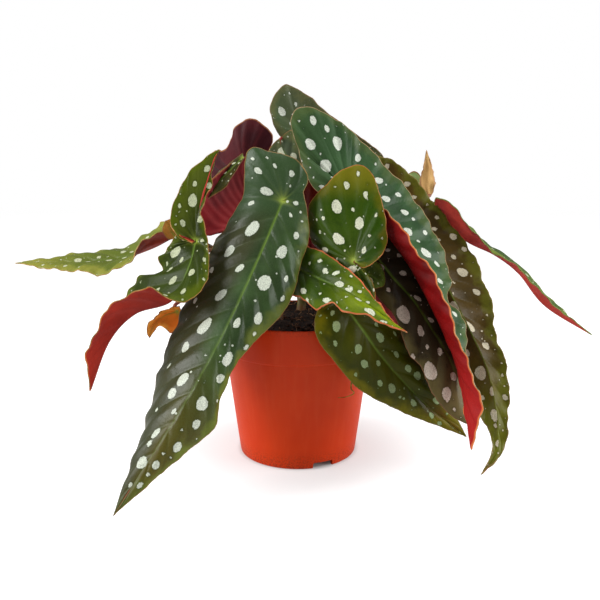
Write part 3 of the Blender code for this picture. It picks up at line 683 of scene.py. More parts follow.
backLeftFold = {
    "name": "leafBackLeftFold", "node": "leaf_back_left_fold",
    "midrib": [(-41, 10, 226), (-52, 6, 215), (-61, 2, 205), (-68, -2, 194)],
    "left": [(-42, 14, 229), (-53, 16, 221), (-64, 14, 210), (-68, -2, 194)],
    "right": [(-40, 8, 226), (-46, 2, 216), (-53, -2, 204), (-62, -4, 198), (-68, -2, 194)],
    "lobes": (0, 0), "bulge": 1,
    "ripple": 0.4, "teeth": 0.5, "spotSize": 1.8, "slot": "leaf_olive",
    "look": {
        "blade": (35, 42, 14), "deep": (28, 27, 9), "edge": (61, 59, 17), "rim": (160, 104, 60),
        "spot": (192, 197, 164), "dots": 0.5, "under": (150, 44, 46), "underDeep": (104, 22, 30)},
}
growLeaf(backLeftFold)

top = {
    "name": "leafTop", "node": "leaf_top",
    "midrib": [(4, 42, 249), (24, 52, 247), (44, 58, 236), (68, 60, 217)],
    "right": [(-5, 44, 235), (-17, 44, 247), (-22, 44, 265), (-12, 46, 282), (2, 48, 279),
            (28, 52, 259), (54, 58, 241), (71, 62, 228), (68, 60, 217)],
    "left": [(-5, 44, 235), (8, 40, 231), (26, 42, 224), (47, 50, 215), (68, 60, 217)],
    "lobes": (1, 4), "bulge": -4,
    "ripple": 0.9, "teeth": 0.5, "spotSize": 2.2, "slot": "leaf_dark",
    "rightSpots": [(0.257, 0.65, 3.0), (0.357, 0.83, 1.0), (0.321, 0.83, 0.7)],
    "look": {
        "blade": (80, 88, 60), "deep": (60, 70, 48), "edge": (96, 98, 60), "rim": (156, 118, 84),
        "spot": (206, 212, 197), "fleck": (104, 112, 84), "dots": 0.35, 
        "under": (142, 40, 44), "underDeep": (96, 20, 28), "lobe": (68, 89, 58)},
}
growLeaf(top)

rightLarge = {
    "name": "leafRightLarge", "node": "leaf_right_large", "underside": (0, 0.95, -0.3),
    "midrib": [(38, -18, 197), (53, -24, 184), (65, -34, 169), (79, -48, 148),
              (94, -68, 117), (107, -84, 82), (113, -96, 37)],
    "right": [(33, -20, 191), (16, -18, 199), (7, -12, 210), (0, -4, 231), (-5, 2, 253),
            (4, 6, 262), (26, 10, 255), (49, 10, 237), (66, 8, 219), (83, 4, 201),
            (101, -4, 173), (110, -12, 151), (112, -22, 135), (108, -30, 126),
            (116, -34, 115), (120, -46, 101), (113, -62, 86), (110, -80, 69),
            (113, -96, 37)],
    "left": [(33, -20, 191), (21, -20, 192), (10, -22, 188), (7, -25, 174), (14, -29, 163),
            (30, -32, 168), (45, -36, 180), (58, -44, 190), (69, -52, 179),
             (80, -64, 162), (90, -76, 147), (98, -88, 124), (106, -98, 99),
             (115, -104, 75), (115, -103, 58), (113, -96, 37)],
    "lobes": (5, 7), "bulge": -3,
    "ripple": 0.9, "teeth": 0.6, "spotSize": 3.2, "slot": "leaf_dark",
    "rightSpots": [(0.243, 0.85, 2.7), (0.214, 0.9, 1.0), (0.271, 0.8, 2.2), (0.2, 0.68, 3.9),
                   (0.293, 0.68, 4.2), (0.193, 0.42, 4.3), (0.364, 0.72, 2.7), (0.321, 0.9, 0.6),
                   (0.136, 0.83, 1.0), (0.093, 0.83, 0.8), (0.071, 0.72, 1.7),
                   (0.407, 0.87, 1.2), (0.429, 0.7, 2.9), (0.464, 0.52, 2.8), (0.479, 0.78, 2.0),
                   (0.514, 0.67, 2.6), (0.536, 0.75, 1.4), (0.607, 0.6, 3.7), (0.55, 0.48, 3.3),
                   (0.571, 0.82, 2.0), (0.579, 0.6, 1.4), (0.636, 0.77, 2.2), (0.671, 0.72, 2.3)],
    "look": {
        "blade": (49, 80, 43), "deep": (33, 57, 31), "tip": (60, 54, 22), "lobe": (59, 83, 46),
        "edge": (71, 88, 45), "rim": (186, 152, 110), "spot": (212, 218, 203), "vein": (86, 116, 82),
        "fleck": (96, 126, 88), "dots": 0.5, "under": (132, 6, 7),
        "underDeep": (85, 4, 5), "underTip": (173, 32, 29), "underRim": (214, 120, 66),
        "underSpan": (0.55, 0.95),
        "shine": 0.15},
}
growLeaf(rightLarge)

rightOuter = {
    "name": "leafRightOuter", "node": "leaf_right_outer",
    "midrib": [(64, 22, 193), (97, 4, 156), (120, -18, 114), (136, -36, 78), (140, -50, 55),
               (140, -62, 37), (137, -71, 22), (125, -78, 11)],
    "right": [(58, 20, 182), (50, 24, 193), (54, 34, 224), (68, 36, 227), (87, 32, 215),
              (106, 26, 193), (122, 18, 172), (136, 10, 152), (142, 0, 133), (148, -12, 112),
              (146, -18, 101), (152, -32, 78), (152, -44, 59), (148, -57, 42), (143, -68, 25),
              (125, -78, 11)],
    "left": [(58, 20, 182), (79, 10, 155), (97, -4, 119), (106, -20, 84), (119, -34, 62),
             (128, -50, 46), (134, -61, 36), (134, -70, 24), (125, -78, 11)],
    "lobes": (0, 3), "bulge": -3,
    "ripple": 1.1, "teeth": 0.9, "spotSize": 3.0, "slot": "leaf_brown",
    "leftSpots": [(0.586, 0.1, 3.8), (0.75, 0.27, 4.4), (0.807, 0.03, 2.7), (0.857, 0.17, 3.2),
                  (0.879, 0.27, 1.3), (0.8, 0.53, 1.4), (0.921, 0.08, 1.8)],
    "rightSpots": [(0.429, 0.85, 2.6), (0.471, 0.57, 2.0), (0.514, 0.57, 3.8),
                   (0.571, 0.72, 2.6), (0.65, 0.08, 3.6), (0.629, 0.78, 1.0), (0.7, 0.45, 2.8),
                   (0.664, 0.53, 1.0), (0.293, 0.7, 1.8), (0.386, 0.6, 1.9), (0.236, 0.88, 0.9),
                   (0.557, 0.08, 1.0), (0.743, 0.83, 0.7), (0.493, 0.78, 0.6),
                   (0.607, 0.93, 0.6), (0.614, 0.35, 0.6), (0.793, 0.78, 0.7)],
    "look": {
        "blade": (77, 57, 15), "deep": (54, 41, 11), "tip": (96, 99, 16), "lobe": (38, 45, 25),
        "edge": (90, 91, 20), "rim": (146, 120, 66), "spot": (196, 186, 160), "vein": (96, 92, 54),
        "fleck": (92, 78, 30), "dots": 0.4, "under": (140, 36, 40),
        "underDeep": (94, 20, 26), "tipSpan": (0.55, 0.95)},
}
growLeaf(rightOuter)

rightFolded = {
    "name": "leafRightFolded", "node": "leaf_right_folded",
    "midrib": [(53, -26, 159), (68, -40, 140), (80, -48, 127), (91, -58, 110),
              (104, -68, 87), (118, -80, 46)],
    "left": [(49, -26, 166), (44, -24, 158), (46, -32, 141), (56, -46, 128), (64, -56, 120),
            (70, -62, 108), (75, -68, 93), (83, -70, 85), (91, -76, 67), (103, -80, 54),
            (118, -80, 46)],
    "right": [(49, -26, 166), (58, -22, 175), (69, -22, 170), (83, -24, 155),
             (97, -30, 131), (107, -38, 109), (115, -50, 90), (119, -62, 70),
             (118, -80, 46)],
    "lobes": (1, 1), "bulge": 2,
    "ripple": 0.7, "teeth": 0.6, "spotSize": 3.0, "slot": "leaf_brown",
    "leftSpots": [(0.329, 0.5, 1.7), (0.457, 0.67, 5.0), (0.564, 0.37, 2.9), (0.629, 0.47, 1.4),
                  (0.707, 0.78, 4.7), (0.821, 0.62, 3.6), (0.614, 0.95, 1.7), (0.886, 0.72, 1.2)],
    "rightSpots": [(0.307, 0.32, 2.3), (0.171, 0.42, 1.5), (0.621, 0.2, 0.6)],
    "look": {
        # the lighter tip colour over the lower half of the leaf is a painted sheen
        "blade": (56, 46, 30), "deep": (36, 28, 18), "tip": (103, 90, 55), "edge": (88, 78, 44),
        "rim": (130, 88, 60), "spot": (196, 182, 166), "vein": (92, 74, 54), "fleck": (82, 76, 56),
        "dots": 0.35, "under": (134, 32, 38), "underDeep": (90, 18, 24),
        "tipSpan": (0.5, 0.95), "lobe": (36, 27, 17)},
}
growLeaf(rightFolded)

centreUpright = {
    "name": "leafCentreUpright", "node": "leaf_centre_upright",
    "midrib": [(37, -66, 156), (41, -69, 146), (44, -70, 135), (47, -72, 124)],
    "left": [(39, -66, 154), (45, -66, 152), (55, -58, 158), (61, -52, 167), (60, -50, 179),
            (56, -50, 198), (49, -48, 214), (40, -46, 219), (28, -44, 214), (17, -42, 203),
            (8, -38, 192), (7, -36, 176), (13, -42, 162), (26, -52, 147), (36, -64, 134),
            (47, -72, 124)],
    "right": [(39, -66, 154), (47, -68, 146), (51, -69, 138), (51, -71, 129),
             (47, -72, 124)],
    "lobes": (12, 1), "bulge": 3,
    "ripple": 0.7, "teeth": 0.6, "spotSize": 3.2, "slot": "leaf_bright",
    "leftSpots": [(0.443, 0.82, 2.1), (0.364, 0.75, 1.8), (0.493, 0.67, 3.7), (0.371, 0.42, 3.4),
                  (0.543, 0.33, 3.6), (0.193, 0.35, 2.1), (0.264, 0.8, 1.3), (0.171, 0.87, 0.9),
                  (0.486, 0.88, 0.9), (0.721, 0.62, 2.2), (0.571, 0.67, 1.3), (0.636, 0.65, 1.2),
                  (0.564, 0.78, 0.9), (0.571, 0.17, 0.8)],
    "look": {
        "blade": (48, 72, 6), "deep": (29, 50, 4), "lobe": (41, 72, 3), "tip": (15, 23, 3),
        "edge": (91, 89, 8), "rim": (204, 122, 60), "spot": (216, 219, 192), "vein": (92, 104, 34),
        "fleck": (96, 108, 30), "dots": 0.25, "under": (176, 60, 50),
        "underDeep": (128, 34, 32), "washes": [((0, 0, 1), 0.192, 0.216, (112, 108, 18))]},
}
growLeaf(centreUpright)

centreFront = {
    "name": "leafCentreFront", "node": "leaf_centre_front",
    "midrib": [(-4, -42, 150), (15, -64, 144), (35, -85, 137), (51, -98, 128),
              (67, -108, 118)],
    "left": [(-9, -42, 144), (-9, -50, 132), (1, -64, 132), (12, -82, 127), (21, -90, 132),
            (30, -100, 129), (42, -104, 127), (55, -108, 122), (67, -108, 118)],
    "right": [(-9, -42, 144), (-12, -36, 157), (2, -44, 164), (16, -55, 162),
             (28, -65, 155), (40, -78, 146), (50, -90, 134), (59, -102, 124),
             (67, -108, 118)],
    "lobes": (1, 1), "bulge": 2,
    "ripple": 1.0, "teeth": 1.2, "spotSize": 2.8, "slot": "leaf_bright",
    "leftSpots": [(0.714, 0.05, 2.3), (0.786, 0.62, 3.1), (0.514, 0.83, 2.3), (0.307, 0.72, 2.3),
                  (0.643, 0.38, 1.0), (0.457, 0.53, 1.2), (0.35, 0.9, 1.4), (0.471, 0.12, 0.9),
                  (0.857, 0.83, 0.9), (0.879, 0.78, 1.0), (0.914, 0.87, 0.7), (0.943, 0.98, 0.7),
                  (0.664, 0.83, 0.9), (0.336, 0.05, 0.9), (0.55, 0.28, 0.5), (0.593, 0.88, 0.9)],
    "rightSpots": [(0.564, 0.1, 2.9), (0.514, 0.52, 2.1), (0.443, 0.37, 1.9), (0.393, 0.62, 1.6),
                   (0.636, 0.12, 2.3), (0.6, 0.78, 1.1), (0.693, 0.4, 1.3), (0.764, 0.15, 1.2),
                   (0.321, 0.38, 1.2), (0.636, 0.33, 0.6)],
    "look": {
        "blade": (42, 67, 3), "deep": (31, 53, 3), "edge": (72, 92, 7), "rim": (226, 120, 74),
        "spot": (216, 221, 195), "vein": (116, 134, 36), "fleck": (110, 130, 30), "dots": 0.4,
        "under": (226, 124, 96), "underDeep": (198, 84, 66), "tip": (126, 145, 9),
        # the dark lobe colour at the stalk end is painted shade cast by the neighbouring leaves
        "tipSpan": (0.3, 0.8), "lobe": (34, 44, 8),
        "rimWidth": 1.1},
}
growLeaf(centreFront)

lowerRight = {
    "name": "leafLowerRight", "node": "leaf_lower_right",
    "midrib": [(30, -60, 128), (43, -70, 111), (61, -66, 86), (88, -58, 56), (121, -52, 28)],
    "left": [(37, -52, 133), (22, -60, 132), (12, -70, 120), (13, -76, 106), (24, -76, 91),
            (39, -72, 72), (57, -66, 59), (81, -60, 46), (121, -52, 28)],
    "right": [(37, -52, 133), (51, -50, 127), (68, -50, 112), (85, -50, 88), (100, -52, 66),
             (114, -52, 41), (121, -52, 28)],
    "lobes": (2, 1), "bulge": 3,
    "ripple": 0.9, "teeth": 0.5, "spotSize": 2.4, "slot": "leaf_olive",
    "leftSpots": [(0.286, 0.48, 3.0), (0.329, 0.72, 1.6), (0.407, 0.37, 3.0), (0.464, 0.47, 2.5),
                  (0.621, 0.43, 3.0), (0.736, 0.38, 2.3), (0.829, 0.38, 1.9), (0.2, 0.82, 1.1),
                  (0.521, 0.7, 0.6), (0.386, 0.88, 0.6), (0.35, 0.13, 0.6), (0.507, 0.58, 0.5)],
    "rightSpots": [(0.421, 0.23, 2.9), (0.514, 0.35, 2.1), (0.593, 0.37, 2.4), (0.636, 0.48, 2.7),
                   (0.779, 0.48, 2.3), (0.857, 0.47, 1.0)],
    "look": {
        "blade": (62, 65, 4), "deep": (45, 50, 3), "tip": (103, 60, 3), "lobe": (98, 75, 8),
        "edge": (104, 98, 6), "rim": (140, 116, 56), "spot": (141, 160, 113), "vein": (78, 92, 42),
        "fleck": (76, 82, 20), "dots": 0.35, "under": (140, 36, 40),
        "underDeep": (94, 20, 26), "tipSpan": (0.6, 0.97)},
}
growLeaf(lowerRight)

farRight = {
    "name": "leafFarRight", "node": "leaf_far_right",
    "midrib": [(118, 30, 173), (136, 24, 160), (155, 18, 151), (173, 12, 137),
              (192, 4, 113), (224, -10, 93)],
    "left": [(113, 30, 184), (107, 24, 191), (109, 20, 196), (120, 14, 189), (133, 8, 172),
            (146, 6, 158), (156, 4, 151), (171, 2, 141), (187, -4, 123), (204, -8, 108),
            (224, -10, 93)],
    "right": [(113, 30, 184), (121, 46, 188), (135, 48, 178), (150, 44, 162),
             (165, 38, 150), (179, 30, 140), (199, 18, 118), (213, 4, 103), (224, -10, 93)],
    "lobes": (2, 1), "bulge": 2,
    "ripple": 0.8, "teeth": 0.5, "spotSize": 2.6, "slot": "leaf_maroon",
    "look": {
        "blade": (78, 100, 48), "deep": (56, 78, 40), "edge": (112, 128, 50), "rim": (128, 138, 62),
        "spot": (201, 206, 177), "dots": 0.5, "under": (220, 83, 69), "underDeep": (165, 54, 50),
        "underVein": (182, 70, 74), "underRim": (120, 128, 56)},
}
growLeaf(farRight)

middleBack = {
    "name": "leafMiddleBack", "node": "leaf_middle_back",
    "midrib": [(2, 14, 218), (-6, 14, 224), (-11, 18, 231), (-14, 24, 240)],
    "right": [(-1, 12, 212), (-16, 10, 216), (-23, 14, 227), (-19, 20, 236), (-12, 26, 242),
            (-14, 24, 240)],
    "left": [(-1, 12, 212), (6, 16, 218), (3, 22, 233), (-4, 28, 247), (-14, 24, 240)],
    "lobes": (1, 1), "bulge": -2,
    "ripple": 0.5, "teeth": 0.5, "spotSize": 1.8, "slot": "leaf_olive",
    "leftSpots": [(0.536, 0.33, 2.7), (0.8, 0.85, 0.7)],
    "rightSpots": [(0.7, 0.13, 4.5)],
    "look": {
        "blade": (74, 89, 61), "deep": (57, 70, 50), "edge": (98, 103, 61), "rim": (162, 112, 66),
        "spot": (205, 210, 182), "dots": 0.4, "under": (150, 40, 44), "underDeep": (100, 20, 28)},
}
growLeaf(middleBack)

innerSmall = {
    "name": "leafInnerSmall", "node": "leaf_inner_small",
    "midrib": [(45, -46, 146), (50, -48, 144), (55, -50, 141), (57, -50, 136)],
    "left": [(43, -46, 148), (42, -46, 139), (47, -48, 135), (53, -50, 135), (57, -50, 136)],
    "right": [(43, -46, 148), (49, -42, 153), (57, -40, 152), (61, -44, 143),
             (60, -48, 137), (57, -50, 136)],
    "lobes": (1, 1), "bulge": 1,
    "ripple": 0.3, "teeth": 0.4, "spotSize": 1.4, "slot": "leaf_olive",
    "leftSpots": [(0.614, 0.35, 1.9)],
    "look": {
        "blade": (71, 93, 29), "deep": (56, 72, 23), "edge": (99, 120, 45), "rim": (170, 118, 60),
        "spot": (199, 206, 167), "dots": 0.4, "under": (160, 48, 48), "underDeep": (112, 24, 30)},
}
growLeaf(innerSmall)

drySheath = {
    "name": "drySheath", "node": "dry_sheath",
    "midrib": [(109, 61, 196), (108, 61, 205), (108, 60, 218), (106, 60, 233)],
    "left": [(109, 62, 193), (102, 60, 204), (103, 60, 214), (104, 60, 222), (106, 60, 233)],
    "right": [(109, 62, 193), (113, 62, 198), (114, 62, 209), (111, 61, 221),
             (106, 60, 233)],
    "lobes": (0, 0), "bulge": 1,
    "ripple": 1.6, "teeth": 2.6, "autoSpots": False, "slot": "leaf_dry",
    "look": {
        "blade": (206, 160, 98), "deep": (146, 92, 46), "edge": (222, 184, 126),
        "rim": (176, 132, 92), "spot": (195, 173, 140), "dots": 0.0, "vein": (140, 96, 62),
        "rough": 0.7, "under": (212, 173, 110), "underDeep": (174, 127, 72),
        "tip": (206, 140, 84)},
}
growLeaf(drySheath)

withered = {
    "name": "leafWithered", "node": "leaf_withered",
    "midrib": [(-89, -20, 113), (-96, -26, 112), (-104, -30, 106), (-107, -34, 96)],
    "left": [(-87, -20, 117), (-96, -28, 116), (-105, -32, 110), (-109, -34, 101),
            (-107, -34, 96)],
    "right": [(-87, -20, 117), (-85, -14, 101), (-93, -20, 97), (-101, -26, 103),
             (-107, -34, 96)],
    "lobes": (1, 1), "bulge": 1,
    "ripple": 2.6, "teeth": 2.8, "autoSpots": False, "slot": "leaf_dry",
    "look": {
        "blade": (245, 141, 45), "deep": (193, 99, 26), "tip": (245, 176, 82), "edge": (239, 162, 63),
        "rim": (120, 66, 36), "spot": (182, 130, 84), "dots": 0.1, "vein": (110, 52, 28), "rough": 0.7,
        "under": (200, 92, 40), "underDeep": (150, 60, 20)},
}
growLeaf(withered)

tinyRight = {
    "name": "leafTinyRight", "node": "leaf_tiny_right",
    "midrib": [(106, 66, 204), (100, 66, 209), (93, 66, 214)],
    "left": [(106, 66, 204), (98, 68, 205), (93, 68, 210), (93, 66, 214)],
    "right": [(106, 66, 204), (102, 64, 213), (97, 64, 216), (93, 66, 214)],
    "lobes": (0, 0), "bulge": 1,
    "ripple": 0.4, "teeth": 0.6, "spotSize": 1.2, "slot": "leaf_olive",
    "look": {
        "blade": (104, 116, 52), "deep": (80, 94, 42), "edge": (128, 126, 58), "rim": (172, 116, 70),
        "spot": (199, 205, 167), "dots": 0.3, "under": (190, 221, 144), "underDeep": (158, 190, 115)},
}
growLeaf(tinyRight)

bractLeft = {
    "name": "bractLeft", "node": "bract_left",
    "midrib": [(-89, -14, 167), (-92, -20, 173), (-95, -22, 180)],
    "left": [(-89, -14, 167), (-88, -12, 174), (-90, -18, 181), (-95, -22, 180)],
    "right": [(-89, -14, 167), (-94, -18, 166), (-97, -24, 173), (-95, -22, 180)],
    "lobes": (0, 0), "bulge": 1,
    "ripple": 0.5, "teeth": 0.8, "autoSpots": False, "slot": "leaf_dry",
    "look": {
        "blade": (169, 98, 18), "deep": (139, 77, 10), "edge": (176, 121, 52), "rim": (150, 104, 66),
        "spot": (186, 158, 121), "dots": 0.0, "vein": (124, 80, 50), "rough": 0.7,
        "under": (176, 116, 44), "underDeep": (140, 88, 30)},
}
growLeaf(bractLeft)
foldedYoung = {
    "name": "leafFoldedYoung",
    "midrib": [(10, 6, 146), (9, 5, 166), (6, 6, 186), (3, 8, 214)],
    "right": [(10, 6, 146), (20, 10, 158), (22, 12, 178), (14, 12, 204), (3, 8, 214)],
    "left": [(10, 6, 146), (-3, 10, 156), (-6, 12, 176), (-7, 12, 198), (3, 8, 214)],
    "lobes": (0, 0), "bulge": 2,
    "ripple": 0.8, "teeth": 0.6, "slot": "leaf_dark",
    "look": {
        "blade": (60, 60, 24), "deep": (44, 40, 18), "edge": (110, 80, 24),
        "rim": (170, 80, 40), "spot": (205, 208, 190), "vein": (90, 80, 40),
        "fleck": (96, 80, 44), "under": (142, 26, 26), "underDeep": (92, 14, 18),
        "underTip": (150, 52, 26), "underRim": (176, 84, 36)},
}
growLeaf(foldedYoung)

print("leaves grown")


# leaves that hang down behind the pot

hanging = {
    "wideHalf": [(-0.05, 0.0), (-0.22, 0.26), (-0.26, 0.66), (-0.10, 1.0), (0.16, 1.04), (0.44, 0.76),
                 (0.74, 0.36), (1.0, 0.0)],
    "narrowHalf": [(-0.05, 0.0), (-0.10, 0.34), (0.04, 0.70), (0.30, 0.76), (0.56, 0.54), (0.80, 0.27),
                   (1.0, 0.0)],
    "droop": 0.3,
    "leaves": [
        ("leafBackMiddle", "leaf_back_middle", (0, 76, 172), (-36, 127, 26), 12, 38, -1),
        ("leafBackRight", "leaf_back_right", (54, 68, 148), (100, 126, 46), 12, 28, 1),
        ("leafBackLowLeft", "leaf_back_low_left", (-56, 76, 158), (-104, 126, 54), 12, 30, 1),
        ("leafBackFarRight", "leaf_back_far_right", (102, 46, 146), (152, 98, 84), 12, 24, -1),
    ],
    "looks": [
        {"blade": (62, 88, 56), "deep": (42, 64, 42), "tip": (76, 92, 56), "lobe": (78, 102, 52),
         "edge": (100, 114, 50), "rim": (168, 128, 72), "spot": (210, 216, 197), "fleck": (100, 124, 96),
         "vein": (98, 118, 64), "dots": 0.6, "under": (152, 40, 46), "underDeep": (102, 20, 30)},
        {"blade": (72, 94, 50), "deep": (50, 72, 38), "tip": (86, 92, 48), "lobe": (88, 108, 50),
         "edge": (112, 120, 48), "rim": (176, 128, 70), "spot": (201, 208, 184), "fleck": (104, 122, 80),
         "vein": (108, 120, 62), "dots": 0.5, "under": (150, 40, 44), "underDeep": (100, 20, 28)},
        {"blade": (66, 90, 58), "deep": (46, 68, 44), "tip": (74, 92, 52), "lobe": (84, 106, 54),
         "edge": (104, 116, 50), "rim": (170, 124, 70), "spot": (206, 212, 192), "fleck": (100, 122, 90),
         "vein": (100, 118, 62), "dots": 0.6, "under": (156, 42, 46), "underDeep": (104, 22, 30)},
        {"blade": (84, 98, 46), "deep": (60, 76, 36), "tip": (92, 90, 44), "lobe": (98, 110, 48),
         "edge": (120, 122, 48), "rim": (180, 126, 68), "spot": (197, 205, 177), "fleck": (108, 122, 70),
         "vein": (116, 120, 60), "dots": 0.5, "under": (150, 40, 44), "underDeep": (100, 20, 28)},
    ],
}


def archedLeaf(name, node, stalk, tip, rise, width, wideSide, look):
    start = Vector(stalk)
    chord = Vector(tip) - start
    forward = chord.normalized()
    up = (Vector((0, 0, 1)) - forward * forward.z).normalized()
    across = forward.cross(up)

    def place(along, out):
        arch = rise * 4 * max(0.0, along) * (1 - along) - hanging["droop"] * width * out * out
        return start + chord * along + up * arch + across * width * out

    halves = {side: [place(along, side * out) for along, out in outline]
              for side, outline in ((wideSide, hanging["wideHalf"]), (-wideSide, hanging["narrowHalf"]))}
    return {"name": name, "node": node, "midrib": [place(step / 5, 0.0) for step in range(6)],
            "left": halves[1], "right": halves[-1], "lobes": (4, 2) if wideSide > 0 else (2, 4),
            "bulge": 2, "ripple": 1.1, "teeth": 0.6, "spotSize": 3.0, "slot": "leaf_dark", "look": look}


for values, look in zip(hanging["leaves"], hanging["looks"]):
    growLeaf(archedLeaf(*values, look))
print("hanging leaves grown")


# canes and stalks

def growTube(name, line, radii, sides, finish):
    # a round tube through the points, closed by a flat cap at each end
    clearSelection()
    rings = len(line)
    bpy.ops.mesh.primitive_grid_add(x_subdivisions=sides, y_subdivisions=rings + 1, size=1)
    made = bpy.context.object
    made.name = name
    mesh = made.data
    ahead = [(line[min(rings - 1, index + 1)] - line[max(0, index - 1)]).normalized()
             for index in range(rings)]
    side = ahead[0].orthogonal().normalized()
    frames = []
    for step in ahead:
        side = (side - step * side.dot(step)).normalized()
        frames.append((side.copy(), step.cross(side)))
    reach = [0.0]
    for first, second in zip(line, line[1:]):
        reach.append(reach[-1] + (second - first).length)
    stemShare = []
    for index, vertex in enumerate(mesh.vertices):
        row, column = divmod(index, sides + 1)
        ring = min(max(row - 1, 0), rings - 1)
        angle = 2 * math.pi * (column % sides) / sides
        radius = 0.0 if row in (0, rings + 1) else radii[ring]
        first, second = frames[ring]
        vertex.co = (line[ring] + (first * math.cos(angle) + second * math.sin(angle)) * radius) * mm
        stemShare.append(reach[ring] / reach[-1])
    mesh.attributes.new("stemShare", "FLOAT", "POINT").data.foreach_set("value", stemShare)
    bpy.ops.object.mode_set(mode="EDIT")
    bpy.ops.mesh.select_all(action="SELECT")
    bpy.ops.mesh.remove_doubles(threshold=0.000005)
    bpy.ops.mesh.dissolve_degenerate(threshold=0.000002)
    bpy.ops.object.mode_set(mode="OBJECT")
    mesh.materials.append(finish)
    bpy.ops.object.shade_smooth()
    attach(made, "root")
    return made


def stemFinish(name, young, old, blush, ringed):
    made, tree, shader = newMaterial(name, 0.48)
    place = tree.nodes.new("ShaderNodeTexCoord")
    drawn = tree.nodes.new("ShaderNodeMapping")
    drawn.inputs["Scale"].default_value = (1.0, 1.0, 0.18)
    tree.links.new(place.outputs["Object"], drawn.inputs["Vector"])
    fibres = addNoise(tree, 1500, 2, source=drawn.outputs["Vector"])
    patch = addRange(tree, addNoise(tree, 90, 3), 0.38, 0.64)
    share = addAttribute(tree, "stemShare")
    color = addMix(tree, patch, tone(*young), tone(*old))
    color = addMix(tree, addRange(tree, share, 0.72, 1.0, 0.0, 0.75), color, tone(*blush))
    color = addMix(tree, addRange(tree, fibres, 0.3, 0.75, 0.0, 0.35), color, tone(*[v * 0.55 for v in old]))
    specks = tree.nodes.new("ShaderNodeTexVoronoi")
    specks.inputs["Scale"].default_value = 480
    tree.links.new(drawn.outputs["Vector"], specks.inputs["Vector"])
    pale = addRange(tree, specks.outputs["Distance"], 0.24, 0.12)
    color = addMix(tree, addMath(tree, "MULTIPLY", pale, 0.55), color, tone(196, 178, 138))
    if ringed:
        scar = addAttribute(tree, "scarNear")
        color = addMix(tree, addMath(tree, "MULTIPLY", scar, 0.7), color, tone(124, 92, 62))
    tree.links.new(color, shader.inputs["Base Color"])
    height = addMath(tree, "ADD", addMath(tree, "MULTIPLY", fibres, 0.5),
                     addMath(tree, "MULTIPLY", pale, 0.6))
    addBump(tree, shader, height, 0.5, 0.0003)
    return made


caneFinish = stemFinish("caneBark", (104, 108, 52), (128, 92, 56), (120, 116, 60), True)
stalkFinish = stemFinish("stalkSkin", (146, 84, 56), (122, 98, 58), (156, 62, 52), False)

soilTop = 98.0
canes = {
    "front": {"root": (-14, -12), "top": (-26, -14, 168), "radius": 4.0},
    "right": {"root": (16, -6), "top": (34, 2, 160), "radius": 4.2},
    "back": {"root": (2, 20), "top": (10, 34, 178), "radius": 4.0},
    "left": {"root": (-22, 12), "top": (-58, 26, 150), "radius": 3.6},
}
caneMake = {"start": 84.3, "points": 8, "rings": 90, "sides": 20, "taper": 0.7, "nodeSpacing": 21.0,
            "nodeSwell": 0.24, "nodeWidth": 1.7}


def caneLine(cane):
    start = Vector((*cane["root"], caneMake["start"]))
    end = Vector(cane["top"])
    lean = Vector((end.x - start.x, end.y - start.y, 0))
    line = []
    for step in range(caneMake["points"]):
        share = step / (caneMake["points"] - 1)
        bend = max(0.0, (share - 0.2) / 0.8) ** 1.4
        sway = lean.cross(Vector((0, 0, 1))) * (bend * (1 - bend))
        line.append(start + lean * bend + sway + Vector((0, 0, (end.z - start.z) * share)))
    return line


for name, cane in canes.items():
    line, length = smoothLine(caneLine(cane), caneMake["rings"])
    dice = random.Random(name)
    firstNode = dice.uniform(8, 16)
    radii, scars = [], []
    for index in range(len(line)):
        along = length * index / (len(line) - 1)
        gap = abs((along - firstNode + 0.5 * caneMake["nodeSpacing"]) % caneMake["nodeSpacing"]
                  - 0.5 * caneMake["nodeSpacing"])
        near = math.exp(-(gap / caneMake["nodeWidth"]) ** 2)
        taper = 1 - (1 - caneMake["taper"]) * index / (len(line) - 1)
        radii.append(cane["radius"] * (taper + caneMake["nodeSwell"] * near))
        scars.append(math.exp(-((gap - 0.3) / 0.9) ** 2))
    tube = growTube(name + "Cane", line, radii, caneMake["sides"], caneFinish)
    layer = tube.data.attributes.new("scarNear", "FLOAT", "POINT")
    rings = [min(len(line) - 1, max(0, round(value.value * (len(line) - 1))))
             for value in tube.data.attributes["stemShare"].data]
    layer.data.foreach_set("value", [scars[ring] for ring in rings])
    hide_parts("cane_" + name)

stalkMake = {"rings": 60, "sides": 14, "base": 2.1, "end": 1.35, "gap": 2.0}
stalks = [
    ("leafFrontLeft", "stalk_front_left", "front", 0.95),
    ("leafLeftUpright", "stalk_left_upright", "left", 0.90),
    ("leafFarLeft", "stalk_far_left", "left", 0.56),
    ("leafBackLeft", "stalk_back_left", "left", 1.0),
    ("leafBackLeftLower", "stalk_back_left_lower", "left", 0.80),
    ("leafTop", "stalk_top", "back", 1.0),
    ("leafRightLarge", "stalk_right_large", "right", 1.0),
    ("leafRightOuter", "stalk_right_outer", "right", 0.86),
    ("leafRightFolded", "stalk_right_folded", "right", 0.74),
    ("leafCentreUpright", "stalk_centre_upright", "right", 0.56),
    ("leafCentreFront", "stalk_centre_front", "front", 0.75),
    ("leafLowerRight", "stalk_lower_right", "right", 0.45),
    ("leafFarRight", "stalk_far_right", "back", 0.72),
    ("leafMiddleBack", "stalk_middle_back", "front", 1.0),
    ("leafInnerSmall", "stalk_inner_small", "right", 0.66),
    ("leafBackMiddle", "stalk_back_middle", "back", 0.78),
    ("leafBackRight", "stalk_back_right", "back", 0.62),
    ("leafBackLowLeft", "stalk_back_low_left", "left", 0.60),
    ("leafBackFarRight", "stalk_back_far_right", "back", 0.54),
    ("leafWithered", "stalk_withered", "left", 0.34),
    ("drySheath", "stalk_dry_sheath", "back", 0.86),
    ("bractLeft", "stalk_bract_left", "left", 0.97),
]


